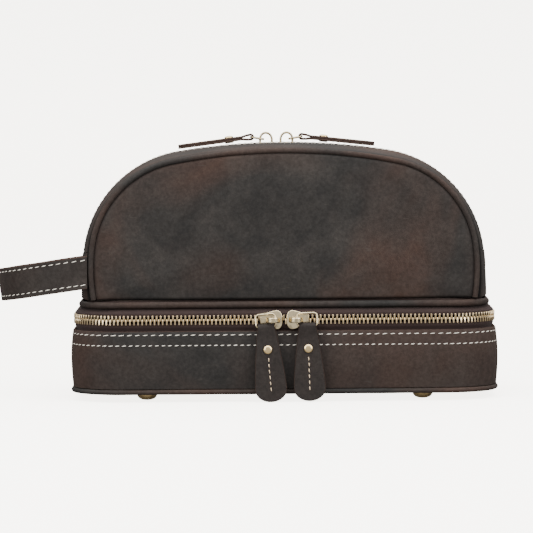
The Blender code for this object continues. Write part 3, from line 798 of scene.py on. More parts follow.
def stitches(name, spots, pitch, share, thick, body, look="thread", slant=7.0, sink=0.25):
    """A row of stitches. spots are (point, run, out) places, one for each stitch."""
    places = []
    for number, (point, run, out) in enumerate(spots):
        turn = math.radians(slant + 3.0 * noise.noise(Vector((number * 0.7, pitch * 900, 0.3))))
        place = stand(point - Vector(out) * thick * sink, run, out)
        places.append(place @ Matrix.Rotation(turn, 4, "Z"))
    return show(name, copies(stitch_mesh(pitch * share, thick), places), look, body, sharp=80.0)


def wall_bulge(z):
    """How far the tray's wall stands out at height z."""
    share = min(1.0, max(0.0, (z - WALL_FOOT) / (TRAY_TOP - WALL_FOOT)))
    return WALL_BULGE * math.sin(math.pi * share**0.95) - 0.0003 * share**6


# ------------------------------------------------------------------ pieces of the tray


def tray_section():
    """Section of the wall with a rounded cut edge on top."""
    outer = []
    for i in range(13):
        z = WALL_FOOT + (TRAY_TOP - 0.0005 - WALL_FOOT) * i / 12
        outer.append((wall_bulge(z), z, 0.0))
    top = [(-0.00055, TRAY_TOP - 0.0001, 1.0), (-0.0012, TRAY_TOP, 1.0)]
    top.append((-0.0018, TRAY_TOP - 0.0002, 1.0))
    inner = [(o - WALL_THICK, z, 0.0) for o, z, _ in outer[::-2]]
    return outer + top + inner


def build_tray_wall():
    """The tray's wall, one band of leather with slow unevenness."""
    wave = bpy.context.scene.kit_bag_leather.wave
    section = tray_section()
    stations = box_stations(TRAY_X, TRAY_Y, TRAY_CORNER, 0.0, 300)

    def rule(i):
        origin = stations[i][0]
        points = []
        for o, z, _ in section:
            calm = math.sin(math.pi * min(1.0, max(0.0, (z - WALL_FOOT) / 0.034)))
            points.append((o + waver(origin + Vector((0, 0, z)), 26.0, wave, 2.0) * calm, z))
        return points

    bm = sweep(stations, rule, True, [e for _, _, e in section])
    show("tray_wall_leather", bm, "tray", "tray", ["tray_wall"], "leather_body")


def tray_row(z, pitch):
    """Places of a row of stitches round the wall."""
    count = round(TRAY_RUN / pitch)
    wave = bpy.context.scene.kit_bag_leather.wave
    spots = []
    for i in range(count):
        point, out = round_box(TRAY_X, TRAY_Y, TRAY_CORNER, TRAY_RUN * (i + 0.5) / count)
        calm = math.sin(math.pi * min(1.0, max(0.0, (z - WALL_FOOT) / 0.034)))
        stand_out = wall_bulge(z) + waver(point + Vector((0, 0, z)), 26.0, wave, 2.0) * calm
        run = Vector((-out.y, out.x, 0.0))
        spots.append((point + out * stand_out + Vector((0, 0, z)), run, out))
    return spots


def build_tray_stitches():
    """Two rows of stitches round the tray."""
    thread = bpy.context.scene.kit_bag_thread
    rows = (
        ("tray_rim_stitches", TRAY_TOP - 0.0024, thread.rim_pitch, 0.75),
        ("tray_wall_stitches", TRAY_TOP - 0.0089, thread.wall_pitch, 0.74),
    )
    for name, z, pitch, share in rows:
        stitches(name, tray_row(z, pitch), pitch, share, thread.width, "tray")


def rolled(name, half_x, half_y, corner, z, radius, body, node, count=300):
    """A bead of leather rolled over cord, round an outline."""
    stations = box_stations(half_x, half_y, corner, z, count)

    def rule(i):
        swell = 1.0 + waver(stations[i][0], 60.0, 0.07, 5.0)
        return [(o * swell, u * swell) for o, u in circle(radius, 14)]

    show(name, sweep(stations, rule, True), "trim", body, [node], "leather_trim")


def build_base():
    """The leather base and the welt round it."""
    rolled(
        "base_welt", TRAY_X - 0.0004, TRAY_Y - 0.0004, TRAY_CORNER - 0.0004, 0.0020, WELT_R, "tray",
        "base_piping",
    )
    low = foot_of("base_panel")
    high = top_of("base_panel")
    half_x, half_y = high.x, high.y
    levels = []
    for share, z in ((0.0, 0.0), (0.3, 0.0), (0.55, 0.00005), (0.7, 0.0003), (0.85, 0.0007)):
        levels.append((share, z + low.z))
    levels += [(0.96, 0.0011), (0.99, 0.0014), (1.0, 0.0019), (1.0, 0.0026), (0.99, 0.0030)]
    levels += [(0.7, 0.0030), (0.3, 0.0030), (0.0, 0.0030)]
    total = box_length(half_x, half_y, 0.0316)

    def place(i, j):
        point, _ = round_box(half_x, half_y, 0.0316, total * i / 160)
        share, z = levels[j]
        return Vector((point.x * share, point.y * share, z))

    bm = close(grid(160, len(levels) - 1, place))
    show("base_leather", bm, "tray", "tray", ["base_panel"], "leather_body")


def build_feet():
    """Four domed metal feet with their hidden washers."""
    profile = [(0.0, -0.0042), (0.0016, -0.00418), (0.0032, -0.0039), (0.0045, -0.0034)]
    profile += [(0.0055, -0.0026), (0.0061, -0.0017), (0.0064, -0.0009), (0.00635, -0.0005)]
    profile += [(0.0061, -0.0003), (0.0018, -0.0003), (0.0018, 0.0061), (0.0, 0.0061)]
    for number in range(1, 5):
        name = f"foot_{number}"
        middle = (foot_of(name) + top_of(name)) / 2
        bm = turned(profile)
        bmesh.ops.translate(bm, verts=bm.verts, vec=(middle.x, middle.y, 0.0))
        show(f"domed_foot_{number}", bm, "antique", "tray", [name], "brass_antique")
        finish_node(f"foot_washer_{number}", "antique")


def finish_node(node, look):
    """Gives a node of the frame that stays as it is its finish."""
    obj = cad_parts[node]
    if not obj.material_slots:
        obj.data.materials.append(LOOKS[look])
    for slot in obj.material_slots:
        slot.material = LOOKS[look]


def cup(name, node, corner, depth_wave, body, roll):
    """An open fabric cup with rounded bottom edges and slow puckers."""
    low = foot_of(node)
    high = top_of(node)
    half_x, half_y = high.x, high.y
    thick = 0.0007
    levels = []
    for i in range(9):
        levels.append((0.0, 1.0, high.z - (high.z - low.z - roll) * i / 8))
    for i in range(1, 6):
        angle = math.pi / 2 * i / 5
        levels.append((roll * (1 - math.cos(angle)), 1.0, low.z + roll * (1 - math.sin(angle))))
    floor = [(roll, share, low.z) for share in (0.8, 0.6, 0.4, 0.2, 0.0)]
    outer = levels + floor
    inner = [(roll, share, low.z + thick) for _, share, _ in floor[::-1]]
    for inset, share, z in levels[::-1]:
        lift = thick if z < low.z + roll else 0.0
        inner.append((inset + thick * (1 if inset < roll * 0.99 else 0.3), share, z + lift * 0.5))
    profile = outer + inner
    total = box_length(half_x, half_y, corner)

    def place(i, j):
        inset, share, z = profile[j % len(profile)]
        point, out = round_box(half_x, half_y, corner, total * i / 200)
        spot = (point - out * inset) * share
        tuck = depth_wave * (1 if 2 < j % len(profile) < len(profile) - 3 else 0.2)
        wave = waver(Vector((spot.x, spot.y, z)), 40.0, tuck, 7.0)
        return Vector((spot.x, spot.y, z)) - out * (abs(wave) * (1.0 if share == 1.0 else 0.0))

    bm = close(grid(200, len(profile), place))
    return show(name, bm, "lining", body, [node], "lining_fabric")


def build_tray_lining():
    """The tray's fabric lining and its board."""
    cup("tray_lining_cloth", "tray_lining", 0.0298, 0.0004, "tray", 0.0030)
    finish_node("base_stiffener", "board")


# ------------------------------------------------------------------ lower zip


def tape_strip(name, line, node, body, count=260):
    """Woven tape round the tray, from a line of (out, z) points on its outer face."""
    stations = box_stations(TRAY_X, TRAY_Y, TRAY_CORNER, 0.0, count, ZIP_START, ZIP_END)
    inner = []
    for i, point in enumerate(line):
        before = Vector(line[max(i - 1, 0)])
        after = Vector(line[min(i + 1, len(line) - 1)])
        run = (after - before).normalized()
        inner.append((point[0] - TAPE_THICK * run.y, point[1] + TAPE_THICK * run.x))
    section = list(line) + inner[::-1]
    show(name, sweep(stations, section), "tape", body, [node], "zip_tape")


def tooth_mesh(width):
    """One tooth in its own frame: X along the chain, Y outwards, Z towards the chain's middle."""
    bm = bmesh.new()
    bmesh.ops.create_cube(bm, size=1.0)
    bmesh.ops.scale(bm, vec=(width, 0.0024, 0.0024), verts=bm.verts)
    bmesh.ops.translate(bm, vec=(0, 0, -0.0018), verts=bm.verts)
    top = [f for f in bm.faces if f.normal.z > 0.9]
    grown = bmesh.ops.extrude_face_region(bm, geom=top)
    bmesh.ops.delete(bm, geom=top, context="FACES_ONLY")
    cap = [v for v in grown["geom"] if isinstance(v, bmesh.types.BMVert)]
    bmesh.ops.translate(bm, vec=(0, 0, 0.0006), verts=cap)
    bmesh.ops.scale(bm, vec=(0.94, 0.80, 1.0), verts=cap)
    again = bmesh.ops.extrude_face_region(
        bm, geom=[f for f in grown["geom"] if isinstance(f, bmesh.types.BMFace)]
    )
    tip = [v for v in again["geom"] if isinstance(v, bmesh.types.BMVert)]
    old = [f for f in grown["geom"] if isinstance(f, bmesh.types.BMFace) and f.is_valid]
    bmesh.ops.delete(bm, geom=old, context="FACES_ONLY")
    bmesh.ops.translate(bm, vec=(0, 0, 0.0006), verts=tip)
    bmesh.ops.scale(bm, vec=(1.10, 0.85, 1.0), verts=tip)
    bmesh.ops.bevel(
        bm, geom=list(bm.edges), offset=0.00018, affect="EDGES", segments=1, profile=0.5, material=-1
    )
    return close(bm)


def tooth_row(start, end, offset, station):
    """Places of a row of teeth between two runs. station(run) gives point, out and up."""
    pitch = bpy.context.scene.kit_bag_zip.pitch
    count = int((end - start) / pitch)
    places = []
    for i in range(count):
        run = start + pitch * (i + offset)
        if run > end - pitch * 0.4:
            continue
        point, out, up = station(run)
        along = out.cross(up)
        turn = Matrix((along, out, up)).transposed().to_4x4()
        places.append(Matrix.Translation(point) @ turn)
    return places


def build_lower_zip():
    """Tape, teeth and stops of the zip round the tray."""
    zips = bpy.context.scene.kit_bag_zip
    face = -CHAIN_IN + 0.00035
    low = [(-0.0028, 0.0310), (-0.0028, 0.0360), (-0.0028, 0.0405), (-0.0024, 0.0415)]
    low += [(face - 0.0001, 0.0424), (face, 0.0430), (face, 0.0438), (face, 0.0450)]
    tape_strip("lower_tape_tray", low, "lower_zip_tape_tray", "tray")
    high = [(face, 0.0492), (face, 0.0504), (face, 0.0511), (-0.0024, 0.0519), (-0.0038, 0.0527)]
    high += [(-0.0054, 0.0536), (-0.0072, 0.0546), (-0.0084, 0.0553), (-0.0089, 0.0560)]
    high += [(-0.0089, 0.0590)]
    tape_strip("lower_tape_upper", high, "lower_zip_tape_upper", "upper")
    for name, way, body, node in (
        ("lower_teeth_tray", 1.0, "tray", "lower_zip_teeth_tray"),
        ("lower_teeth_upper", -1.0, "upper", "lower_zip_teeth_upper"),
    ):

        def station(run):
            point, out = round_box(TRAY_X, TRAY_Y, TRAY_CORNER, run)
            return point - out * CHAIN_IN + Vector((0, 0, CHAIN_Z)), out, Vector((0, 0, way))

        places = tooth_row(ZIP_START, ZIP_END, 0.5 if way > 0 else 1.0, station)
        show(name, copies(tooth_mesh(zips.tooth), places), "teeth", body, [node], "brass_teeth")
    for side in ("left", "right"):
        node = f"lower_zip_stop_{side}"
        stop_block(f"lower_stop_{side}", node, "antique", "tray", "brass_antique", 0.0005)


def stop_block(name, node, look, body, slot, soften):
    """A block with rounded edges that fills a node's box."""
    low = foot_of(node)
    high = top_of(node)
    bm = bmesh.new()
    bmesh.ops.create_cube(bm, size=1.0)
    bmesh.ops.scale(bm, vec=high - low, verts=bm.verts)
    bmesh.ops.translate(bm, vec=(low + high) / 2, verts=bm.verts)
    bmesh.ops.bevel(
        bm, geom=list(bm.edges), offset=soften, affect="EDGES", segments=3, profile=0.5, material=-1
    )
    return show(name, bm, look, body, [node], slot)


def build_hinge():
    """The leather strip that joins the lid to the tray along the back."""
    line = [(-0.0027, 0.0310), (-0.0027, 0.0360), (-0.0027, 0.0405), (-0.0022, 0.0418)]
    line += [(-0.0014, 0.0430)]
    line += [(-0.0014, 0.0440 + 0.0006 * i) for i in range(13)]
    line += [(-0.0023, 0.0520), (-0.0041, 0.0530), (-0.0059, 0.0540), (-0.0078, 0.0550)]
    line += [(-0.0087, 0.0558), (-0.0087, 0.0592)]
    thick = 0.0012
    inner = []
    for i, point in enumerate(line):
        before = Vector(line[max(i - 1, 0)])
        after = Vector(line[min(i + 1, len(line) - 1)])
        run = (after - before).normalized()
        inner.append((point[0] - thick * run.y, point[1] + thick * run.x))
    section = line + inner[::-1]
    half = ZIP_BACK_X + 0.0002
    stations = []
    for i in range(61):
        x = half - 2 * half * i / 60
        stations.append((Vector((x, TRAY_Y, 0.0)), Vector((0, 1, 0)), Vector((0, 0, 1))))
    body = ("tray", "upper", (0, 0.0633, 0.0463), (0, 0.0633, 0.0503))
    show(
        "hinge_strip", sweep(stations, section), "trim", body,
        ["hinge_leaf_tray", "hinge_leaf_upper"], "leather_trim",
    )


# ------------------------------------------------------------------ upper compartment


def build_rim():
    """The rolled rim at the foot of the upper compartment, and its floor."""
    rolled("rim_bead", RIM_X, RIM_Y, RIM_CORNER, RIM_Z, RIM_R, "upper", "rim_piping")
    stop_round("upper_floor", "floor_panel", 0.026)


def stop_round(name, node, corner):
    """A round-cornered board covered in lining."""
    low = foot_of(node)
    high = top_of(node)
    half_x, half_y = high.x, high.y
    thick = high.z - low.z
    levels = [(0.0, low.z), (0.5, low.z), (0.96, low.z), (0.995, low.z + thick * 0.2)]
    levels += [(1.0, low.z + thick * 0.5), (0.995, high.z - thick * 0.2), (0.96, high.z)]
    levels += [(0.5, high.z), (0.0, high.z)]
    total = box_length(half_x, half_y, corner)

    def place(i, j):
        point, _ = round_box(half_x, half_y, corner, total * i / 120)
        share, z = levels[j]
        return Vector((point.x * share, point.y * share, z))

    bm = close(grid(120, len(levels) - 1, place))
    show(name, bm, "lining", "upper", [node], "board")


def panel_depth(x, z):
    """How far forward the rim of a panel lies at (x, z)."""
    low = max(0.0, 1.0 - (z - UPPER_FOOT) / 0.055) ** 1.5
    wide = 1.0 - min(1.0, abs(x) / 0.119) ** 2.5
    return 0.0556 + 0.0038 * low * wide


def panel_outline(inset):
    """Points (x, z) round a panel: the arch from left to right, then the foot back to the left."""
    points = []
    for number, share, side in FULL:
        point, way = PIPING_ARCH.on(number, share, side)
        points.append((point.x - way.x * inset, point.z - way.z * inset))
    first = points[-1]
    last = points[0]
    steps = 60
    for i in range(1, steps):
        x = first[0] + (last[0] - first[0]) * i / steps
        points.append((x, UPPER_FOOT - 0.0002))
    return points


def build_panel(name, side, look, body, node, seed):
    """A pillowed panel whose edge tucks in beside the piping."""
    wave = bpy.context.scene.kit_bag_leather.wave
    outline = panel_outline(PIPING_R - 0.0006)
    centre = Vector((0.0, 0.100))
    shares = [0.0, 0.08, 0.16, 0.24, 0.32, 0.40, 0.48, 0.56, 0.64, 0.71, 0.77, 0.82, 0.86, 0.895]
    shares += [0.92, 0.94, 0.955, 0.968, 0.979, 0.988, 0.995, 1.0]
    profile = [(s, 0.0) for s in shares] + [(s, SKIN) for s in shares[::-1]]

    def place(i, j):
        share, inner = profile[j]
        x, z = outline[i % len(outline)]
        point = centre + (Vector((x, z)) - centre) * share
        tuck = 0.0013 * max(0.0, (share - 0.955) / 0.045) ** 2
        depth = panel_depth(point.x, point.y) + 0.0036 * (1 - share**2.4) - tuck - inner
        calm = 1.0 - share**6
        depth += waver((point.x, side, point.y), 22.0, wave * 1.6, seed) * calm
        depth += waver((point.x, side, point.y), 70.0, wave * 0.35, seed + 3) * calm
        return Vector((point.x, side * depth, point.y))

    def shade(i, j):
        share, inner = profile[j]
        return 1.0 if inner else max(0.0, (share - 0.982) / 0.018) * 0.9

    bm = close(grid(len(outline), len(profile) - 1, place, shade=shade))
    show(name, bm, look, body, [node], "leather_body", 60.0)


def build_panels():
    """Front and back panels."""
    build_panel("front_panel_leather", -1, "panel", front_bend(), "front_panel", 11.0)
    build_panel("back_panel_leather", 1, "panel", "upper", "back_panel", 23.0)


def build_arch_piping():
    """Rolled piping round both panels."""
    for name, y, body, node in (
        ("front_piping_roll", -PIPING_Y, front_bend(), "front_piping"),
        ("back_piping_roll", PIPING_Y, "upper", "back_piping"),
    ):
        stations = []
        for number, share, side in FULL:
            point, way = PIPING_ARCH.on(number, share, side)
            stations.append((point + Vector((0, y, 0)), way, Vector((0, 1, 0))))

        def rule(i):
            swell = 1.0 + waver(stations[i][0], 70.0, 0.06, 9.0)
            return [(o * swell, u * swell) for o, u in circle(PIPING_R, 14)]

        show(name, sweep(stations, rule), "trim", body, [node], "leather_trim")


def gusset_strip(name, stops, low, high, body, node, count=14):
    """A strip of gusset leather between two depths, with rounded edges."""
    rows = []
    for i in range(count + 1):
        rows.append((low + (high - low) * i / count, 0.0, 0.0))
    lip = 0.0004
    rows[0] = (low + 0.0002, 0.0002, 0.0)
    rows[-1] = (high - 0.0002, 0.0002, 0.0)
    rows.append((high, SKIN / 2, 1.0))
    for i in range(count + 1):
        rows.append((high + (low - high) * i / count, SKIN, 0.0))
    rows.append((low, SKIN / 2, 1.0))
    raw_low = abs(low) < GUSSET_Y - lip
    raw_high = abs(high) < GUSSET_Y - lip

    def place(i, j):
        number, share, side = stops[i]
        y, inset, _ = rows[j % len(rows)]
        point = gusset_point(number, share, side, y, inset)
        return point

    def edge(i, j):
        y, _, flag = rows[j % len(rows)]
        keep = raw_high if abs(y - high) < abs(y - low) else raw_low
        return flag * (0.8 if keep else 0.0)

    def shade(i, j):
        y, inset, _ = rows[j % len(rows)]
        return 0.95 if GUSSET_Y - abs(y) < 0.0012 or inset > SKIN * 0.9 else 0.0

    bm = close(grid(len(stops) - 1, len(rows), place, (0.3, 0.1), edge, shade))
    show(name, bm, "panel", body, [node], "leather_body")


def build_gussets():
    """Gusset strips either side of the top zip, the two ends, and their stitches."""
    thread = bpy.context.scene.kit_bag_thread
    gusset_strip("gusset_front_leather", OVER, -GUSSET_Y, -0.0072, front_bend(), "gusset_front")
    gusset_strip("gusset_back_leather", OVER, 0.0072, GUSSET_Y, "upper", "gusset_back")
    for side, name in ((-1.0, "left"), (1.0, "right")):
        stops = [(2, 0.012 + 0.988 * i / 16, side) for i in range(17)]
        node = f"gusset_end_{name}"
        gusset_strip(f"{node}_leather", stops, -GUSSET_Y, GUSSET_Y, "upper", node, 40)
    arch = CREST_ARCH
    for name, y, body in (
        ("crest_stitches_front", -0.0096, front_bend()),
        ("crest_stitches_back", 0.0096, "upper"),
    ):
        count = int(2 * arch.shoulder / thread.crest_pitch)
        spots = []
        for i in range(count):
            run = -arch.shoulder + 2 * arch.shoulder * (i + 0.5) / count
            point, way = arch.at(run)
            point = point - way * 0.00005 + Vector((0, y, 0))
            spots.append((point, Vector((way.z, 0, -way.x)), way))
        stitches(name, spots, thread.crest_pitch, 0.68, thread.width * 1.1, body, sink=0.0)


def lining_sheet(name, node, side, body):
    """A puckered fabric lining behind a panel."""
    near = abs(foot_of(node).y if side > 0 else top_of(node).y)
    outline = []
    for number, share, way_side in arch_stops(0.0, 2.6):
        point, way = PIPING_ARCH.on(number, share, way_side)
        outline.append((point.x - way.x * 0.0050, max(point.z - way.z * 0.0050, 0.0640)))
    first = outline[-1]
    last = outline[0]
    for i in range(1, 40):
        share = i / 40
        outline.append((first[0] + (last[0] - first[0]) * share, first[1]))
    shares = [0.0, 0.2, 0.4, 0.6, 0.75, 0.87, 0.95, 1.0]
    profile = [(s, 0.0) for s in shares] + [(s, 0.0007) for s in shares[::-1]]

    def place(i, j):
        share, more = profile[j]
        x, z = outline[i % len(outline)]
        x *= share
        z = 0.100 + (z - 0.100) * share
        wave = abs(waver((x, side, z), 45.0, 0.0007, 15.0)) * (1 - share**8)
        return Vector((x, side * (near + more - wave), z))

    bm = close(grid(len(outline), len(profile) - 1, place))
    show(name, bm, "lining", body, [node], "lining_fabric")


def build_linings():
    """Fabric inside the main compartment."""
    cup("main_lining_cloth", "main_lining", 0.020, 0.0003, "upper", 0.0025)
    lining_sheet("front_lining_cloth", "front_lining", -1, front_bend())
    lining_sheet("back_lining_cloth", "back_lining", 1, "upper")
    low = foot_of("slip_pocket")
    high = top_of("slip_pocket")
    middle = (low + high) / 2
    bm = bmesh.new()
    bmesh.ops.create_grid(bm, x_segments=60, y_segments=24, size=0.5)
    for vert in bm.verts:
        x = vert.co.x * (high.x - low.x)
        z = vert.co.y * (high.z - low.z)
        sag = 0.0012 * (0.5 - abs(vert.co.x)) * max(0.0, vert.co.y + 0.3)
        vert.co = (x, low.y + 0.0004 - waver((x, 0, z), 50.0, 0.0003) - sag, middle.z + z)
    bmesh.ops.solidify(bm, geom=bm.faces[:], thickness=0.0006)
    show("slip_pocket_cloth", close(bm), "lining", "upper", ["slip_pocket"], "lining_fabric")
    stations = []
    for i in range(41):
        x = low.x + (high.x - low.x) * i / 40
        stations.append((Vector((x, low.y, high.z - 0.002)), Vector((0, -1, 0)), Vector((0, 0, 1))))
    hem, _ = slab(0.0060, 0.0007, 0.0003, 2, 3)
    bm = sweep(stations, [(o + 0.0009, u) for o, u in hem])
    show("slip_pocket_hem", bm, "trim", "upper")


# ------------------------------------------------------------------ top zip


def build_top_zip():
    """Tape, teeth and end tabs of the zip over the crest."""
    zips = bpy.context.scene.kit_bag_zip
    arch = CREST_ARCH
    for name, way, body, node in (
        ("top_tape_front", -1.0, front_bend(), "top_zip_tape_front"),
        ("top_tape_back", 1.0, "upper", "top_zip_tape_back"),
    ):
        steps = [0.0018 + (0.0130 - 0.0018) * i / 8 for i in range(9)]
        section = [(-TOP_CHAIN_DEPTH + 0.0003, way * y) for y in steps]
        section += [(-TOP_CHAIN_DEPTH - 0.0003, way * y) for y in steps[::-1]]
        stations = []
        for i in range(161):
            run = -arch.shoulder + 2 * arch.shoulder * i / 160
            point, out = arch.at(run)
            stations.append((point, out, Vector((0, 1, 0))))
        show(name, sweep(stations, section), "tape", body, [node], "zip_tape")
    for name, way, body, node in (
        ("top_teeth_front", 1.0, front_bend(), "top_zip_teeth_front"),
        ("top_teeth_back", -1.0, "upper", "top_zip_teeth_back"),
    ):

        def station(run):
            point, out = arch.at(run)
            return point - out * TOP_CHAIN_DEPTH, out, Vector((0, way, 0))

        places = tooth_row(
            -arch.shoulder + 0.001, arch.shoulder, 0.5 if way > 0 else 1.0, station
        )
        show(name, copies(tooth_mesh(zips.tooth), places), "teeth", body, [node], "brass_teeth")
    for side, name in ((-1.0, "left"), (1.0, "right")):
        stations = []
        for i in range(13):
            point, out = arch.on(2, 0.02 + 0.38 * i / 12, side)
            stations.append((point + out * 0.00015, out, Vector((0, 1, 0))))
        section, _ = slab(0.016, 0.0009, 0.0004, 3, 6)

        def rule(i, section=section):
            narrow = 1.0 - 0.25 * max(0.0, (i - 9) / 3) ** 2
            return [(o, u * narrow) for o, u in section]

        node = f"top_zip_end_{name}"
        bm = sweep(stations, rule)
        show(f"top_end_tab_{name}", bm, "trim", "upper", [node], "leather_trim")


# ------------------------------------------------------------------ hand strap


def build_strap():
    """Two layers of leather looped at the left end, stitched near both edges."""
    thread = bpy.context.scene.kit_bag_thread
    count = 90
    stations = [strap_station(math.pi * i / count) for i in range(count + 1)]
    body = ("upper", "hand_strap", (-0.1245, 0.0, 0.076), (-0.1500, 0.0, 0.070))
    section, flags = slab(2 * STRAP_HALF, 0.00115, 0.00045, 3, 8)
    for name, shift, nodes in (
        ("strap_outer_layer", 0.00060, ["hand_strap"]),
        ("strap_inner_layer", -0.00060, []),
    ):

        def rule(i, shift=shift):
            wobble = waver(stations[i][0], 60.0, 0.0002, 3.0)
            return [(o + shift, u * (0.995 if shift < 0 else 1.0) + wobble) for o, u in section]

        bm = sweep(stations, rule, edges=flags)
        show(name, bm, "strap", body, nodes, "leather_strap")
    fine = [strap_station(math.pi * i / 900) for i in range(901)]
    runs = [0.0]
    for one, two in zip(fine, fine[1:]):
        runs.append(runs[-1] + (two[0] - one[0]).length)
    number = round(runs[-1] / thread.strap_pitch)
    for face, out_shift in (("outer", 0.00122), ("inner", -0.00122)):
        for row, height in (("upper", STRAP_HALF - 0.0026), ("lower", -STRAP_HALF + 0.0028)):
            spots = []
            step = 0
            for i in range(number):
                goal = runs[-1] * (i + 0.5) / number
                while runs[step] < goal:
                    step += 1
                middle, across, up = fine[step]
                ahead = fine[min(step + 1, 900)][0] - fine[step - 1][0]
                wobble = waver(middle, 60.0, 0.0002, 3.0)
                spots.append(
                    (
                        middle + across * out_shift + up * (height + wobble),
                        ahead,
                        across * math.copysign(1.0, out_shift),
                    )
                )
            stitches(
                f"strap_stitches_{face}_{row}", spots, thread.strap_pitch, 0.68, thread.width, body
            )


# ------------------------------------------------------------------ sliders, rings, pulls


def slider_piece(place):
    """A zip slider in its own frame: X from the wide end to the narrow end, Z outwards."""
    bm = bmesh.new()
    fan = [(0.0, 0.0022), (0.0004, 0.0036), (0.0012, 0.0050), (0.0024, 0.0058), (0.0038, 0.0060)]
    fan += [(0.0054, 0.0057), (0.0072, 0.0052), (0.0090, 0.0047), (0.0110, 0.0041)]
    fan += [(0.0128, 0.0034), (0.0137, 0.0026), (0.0140, 0.0014)]

    def plate(low, high, limit, soften):
        flat = [(a, min(b, limit)) for a, b in fan]
        ring = flat + [(a, -b) for a, b in flat[::-1]]
        part = bmesh.new()
        verts = [part.verts.new((a, b, low)) for a, b in ring]
        face = part.faces.new(verts)
        grown = bmesh.ops.extrude_face_region(part, geom=[face])
        lifted = [v for v in grown["geom"] if isinstance(v, bmesh.types.BMVert)]
        bmesh.ops.translate(part, vec=(0, 0, high - low), verts=lifted)
        bmesh.ops.recalc_face_normals(part, faces=part.faces)
        rims = [e for e in part.edges if abs(e.verts[0].co.z - e.verts[1].co.z) < 1e-6]
        bmesh.ops.bevel(
            part, geom=rims, offset=soften, affect="EDGES", segments=3, profile=0.5, material=-1
        )
        return part

    parts = [plate(0.00155, 0.0027, 0.0060, 0.00042), plate(-0.0025, -0.00155, 0.0040, 0.00035)]
    post = bmesh.new()
    bmesh.ops.create_cube(post, size=1.0)
    bmesh.ops.scale(post, vec=(0.0030, 0.0010, 0.0040), verts=post.verts)
    bmesh.ops.translate(post, vec=(0.0027, 0, 0), verts=post.verts)
    parts.append(post)
    # flanges that guide the tape
    for side in (-1, 1):
        rail = bmesh.new()
        bmesh.ops.create_cube(rail, size=1.0)
        bmesh.ops.scale(rail, vec=(0.0090, 0.0008, 0.0010), verts=rail.verts)
        bmesh.ops.bevel(
            rail, geom=list(rail.edges), offset=0.0002, affect="EDGES", segments=2, profile=0.5,
            material=-1,
        )
        turn = Matrix.Translation((0.0086, side * 0.0044, 0.00125))
        bmesh.ops.transform(
            rail, matrix=turn @ Matrix.Rotation(math.radians(-side * 9.0), 4, "Z"), verts=rail.verts
        )
        parts.append(rail)
    # bail, a bridge over the ring
    path = [(0.0021, 0.0018), (0.0021, 0.0048), (0.0024, 0.0061), (0.0031, 0.0074)]
    path += [(0.0041, 0.0083), (0.0052, 0.0087), (0.0060, 0.0088), (0.0068, 0.0087)]
    path += [(0.0078, 0.0083), (0.0088, 0.0074), (0.0094, 0.0061), (0.0097, 0.0048)]
    path += [(0.0097, 0.0018)]
    stations = []
    for i, (a, c) in enumerate(path):
        before = Vector(path[max(i - 1, 0)])
        after = Vector(path[min(i + 1, len(path) - 1)])
        run = (after - before).normalized()
        stations.append((Vector((a, 0, c)), Vector((-run.y, 0, run.x)), Vector((0, 1, 0))))
    band, _ = slab(0.0034, 0.00145, 0.0006, 3, 2)
    parts.append(sweep(stations, band))
    for part in parts:
        small = bpy.data.meshes.new("part")
        part.to_mesh(small)
        part.free()
        bm.from_mesh(small)
        bpy.data.meshes.remove(small)
    bmesh.ops.transform(bm, matrix=place, verts=bm.verts)
    bmesh.ops.recalc_face_normals(bm, faces=bm.faces)
    return bm


def ring_piece(place):
    """A rounded wire ring in the XZ plane of its own frame."""
    total = box_length(RING_X, RING_Z, RING_CORNER)
    stations = []
    for i in range(72):
        point, out = round_box(RING_X, RING_Z, RING_CORNER, total * i / 72)
        flat = Vector((point.x, 0, point.y))
        way = Vector((out.x, 0, out.y))
        stations.append((flat, way, Vector((0, 1, 0))))
    bm = sweep(stations, circle(WIRE_R, 10), True)
    bmesh.ops.transform(bm, matrix=place, verts=bm.verts)
    return bm


def pull_half(z):
    """Half width of a pull at a depth below the ring's bar."""
    if z < -0.0385:
        share = min(1.0, (-0.0385 - z) / (PULL_LENGTH - 0.0385))
        return max(0.0006, 0.00995 * math.sqrt(max(0.0, 1 - share**2.2)))
    stops = [(0.003, 0.0053), (-0.0010, 0.0053), (-0.0028, 0.0060), (-0.0070, 0.0066)]
    stops += [(-0.0146, 0.0076), (-0.022, 0.0085), (-0.030, 0.0094), (-0.0385, 0.00995)]
    for (za, wa), (zb, wb) in zip(stops, stops[1:]):
        if zb <= z <= za:
            share = (za - z) / (za - zb)
            return wa + (wb - wa) * share
    return stops[0][1]


def pull_path():
    """The folded strip's middle line as (y, z) points, from one free end to the other."""
    depths = [-PULL_LENGTH, -0.0467, -0.0464, -0.0459, -0.0452, -0.0443, -0.0432, -0.0420, -0.0404]
    depths += [-0.0385, -0.0360, -0.0330, -0.0300, -0.0260, -0.0220, -0.0180, -0.0146, -0.0115]
    depths += [-0.0085, -0.0060]
    path = [(-LAYER_MID, z) for z in depths]
    path += [(-0.00095, -0.0044), (-0.00130, -0.0028)]
    for i in range(13):
        angle = math.radians(190 - 200 * i / 12)
        path.append((LOOP_R * math.cos(angle), LOOP_R * math.sin(angle)))
    path += [(-y, z) for y, z in path[len(depths) + 1 :: -1]]
    return path


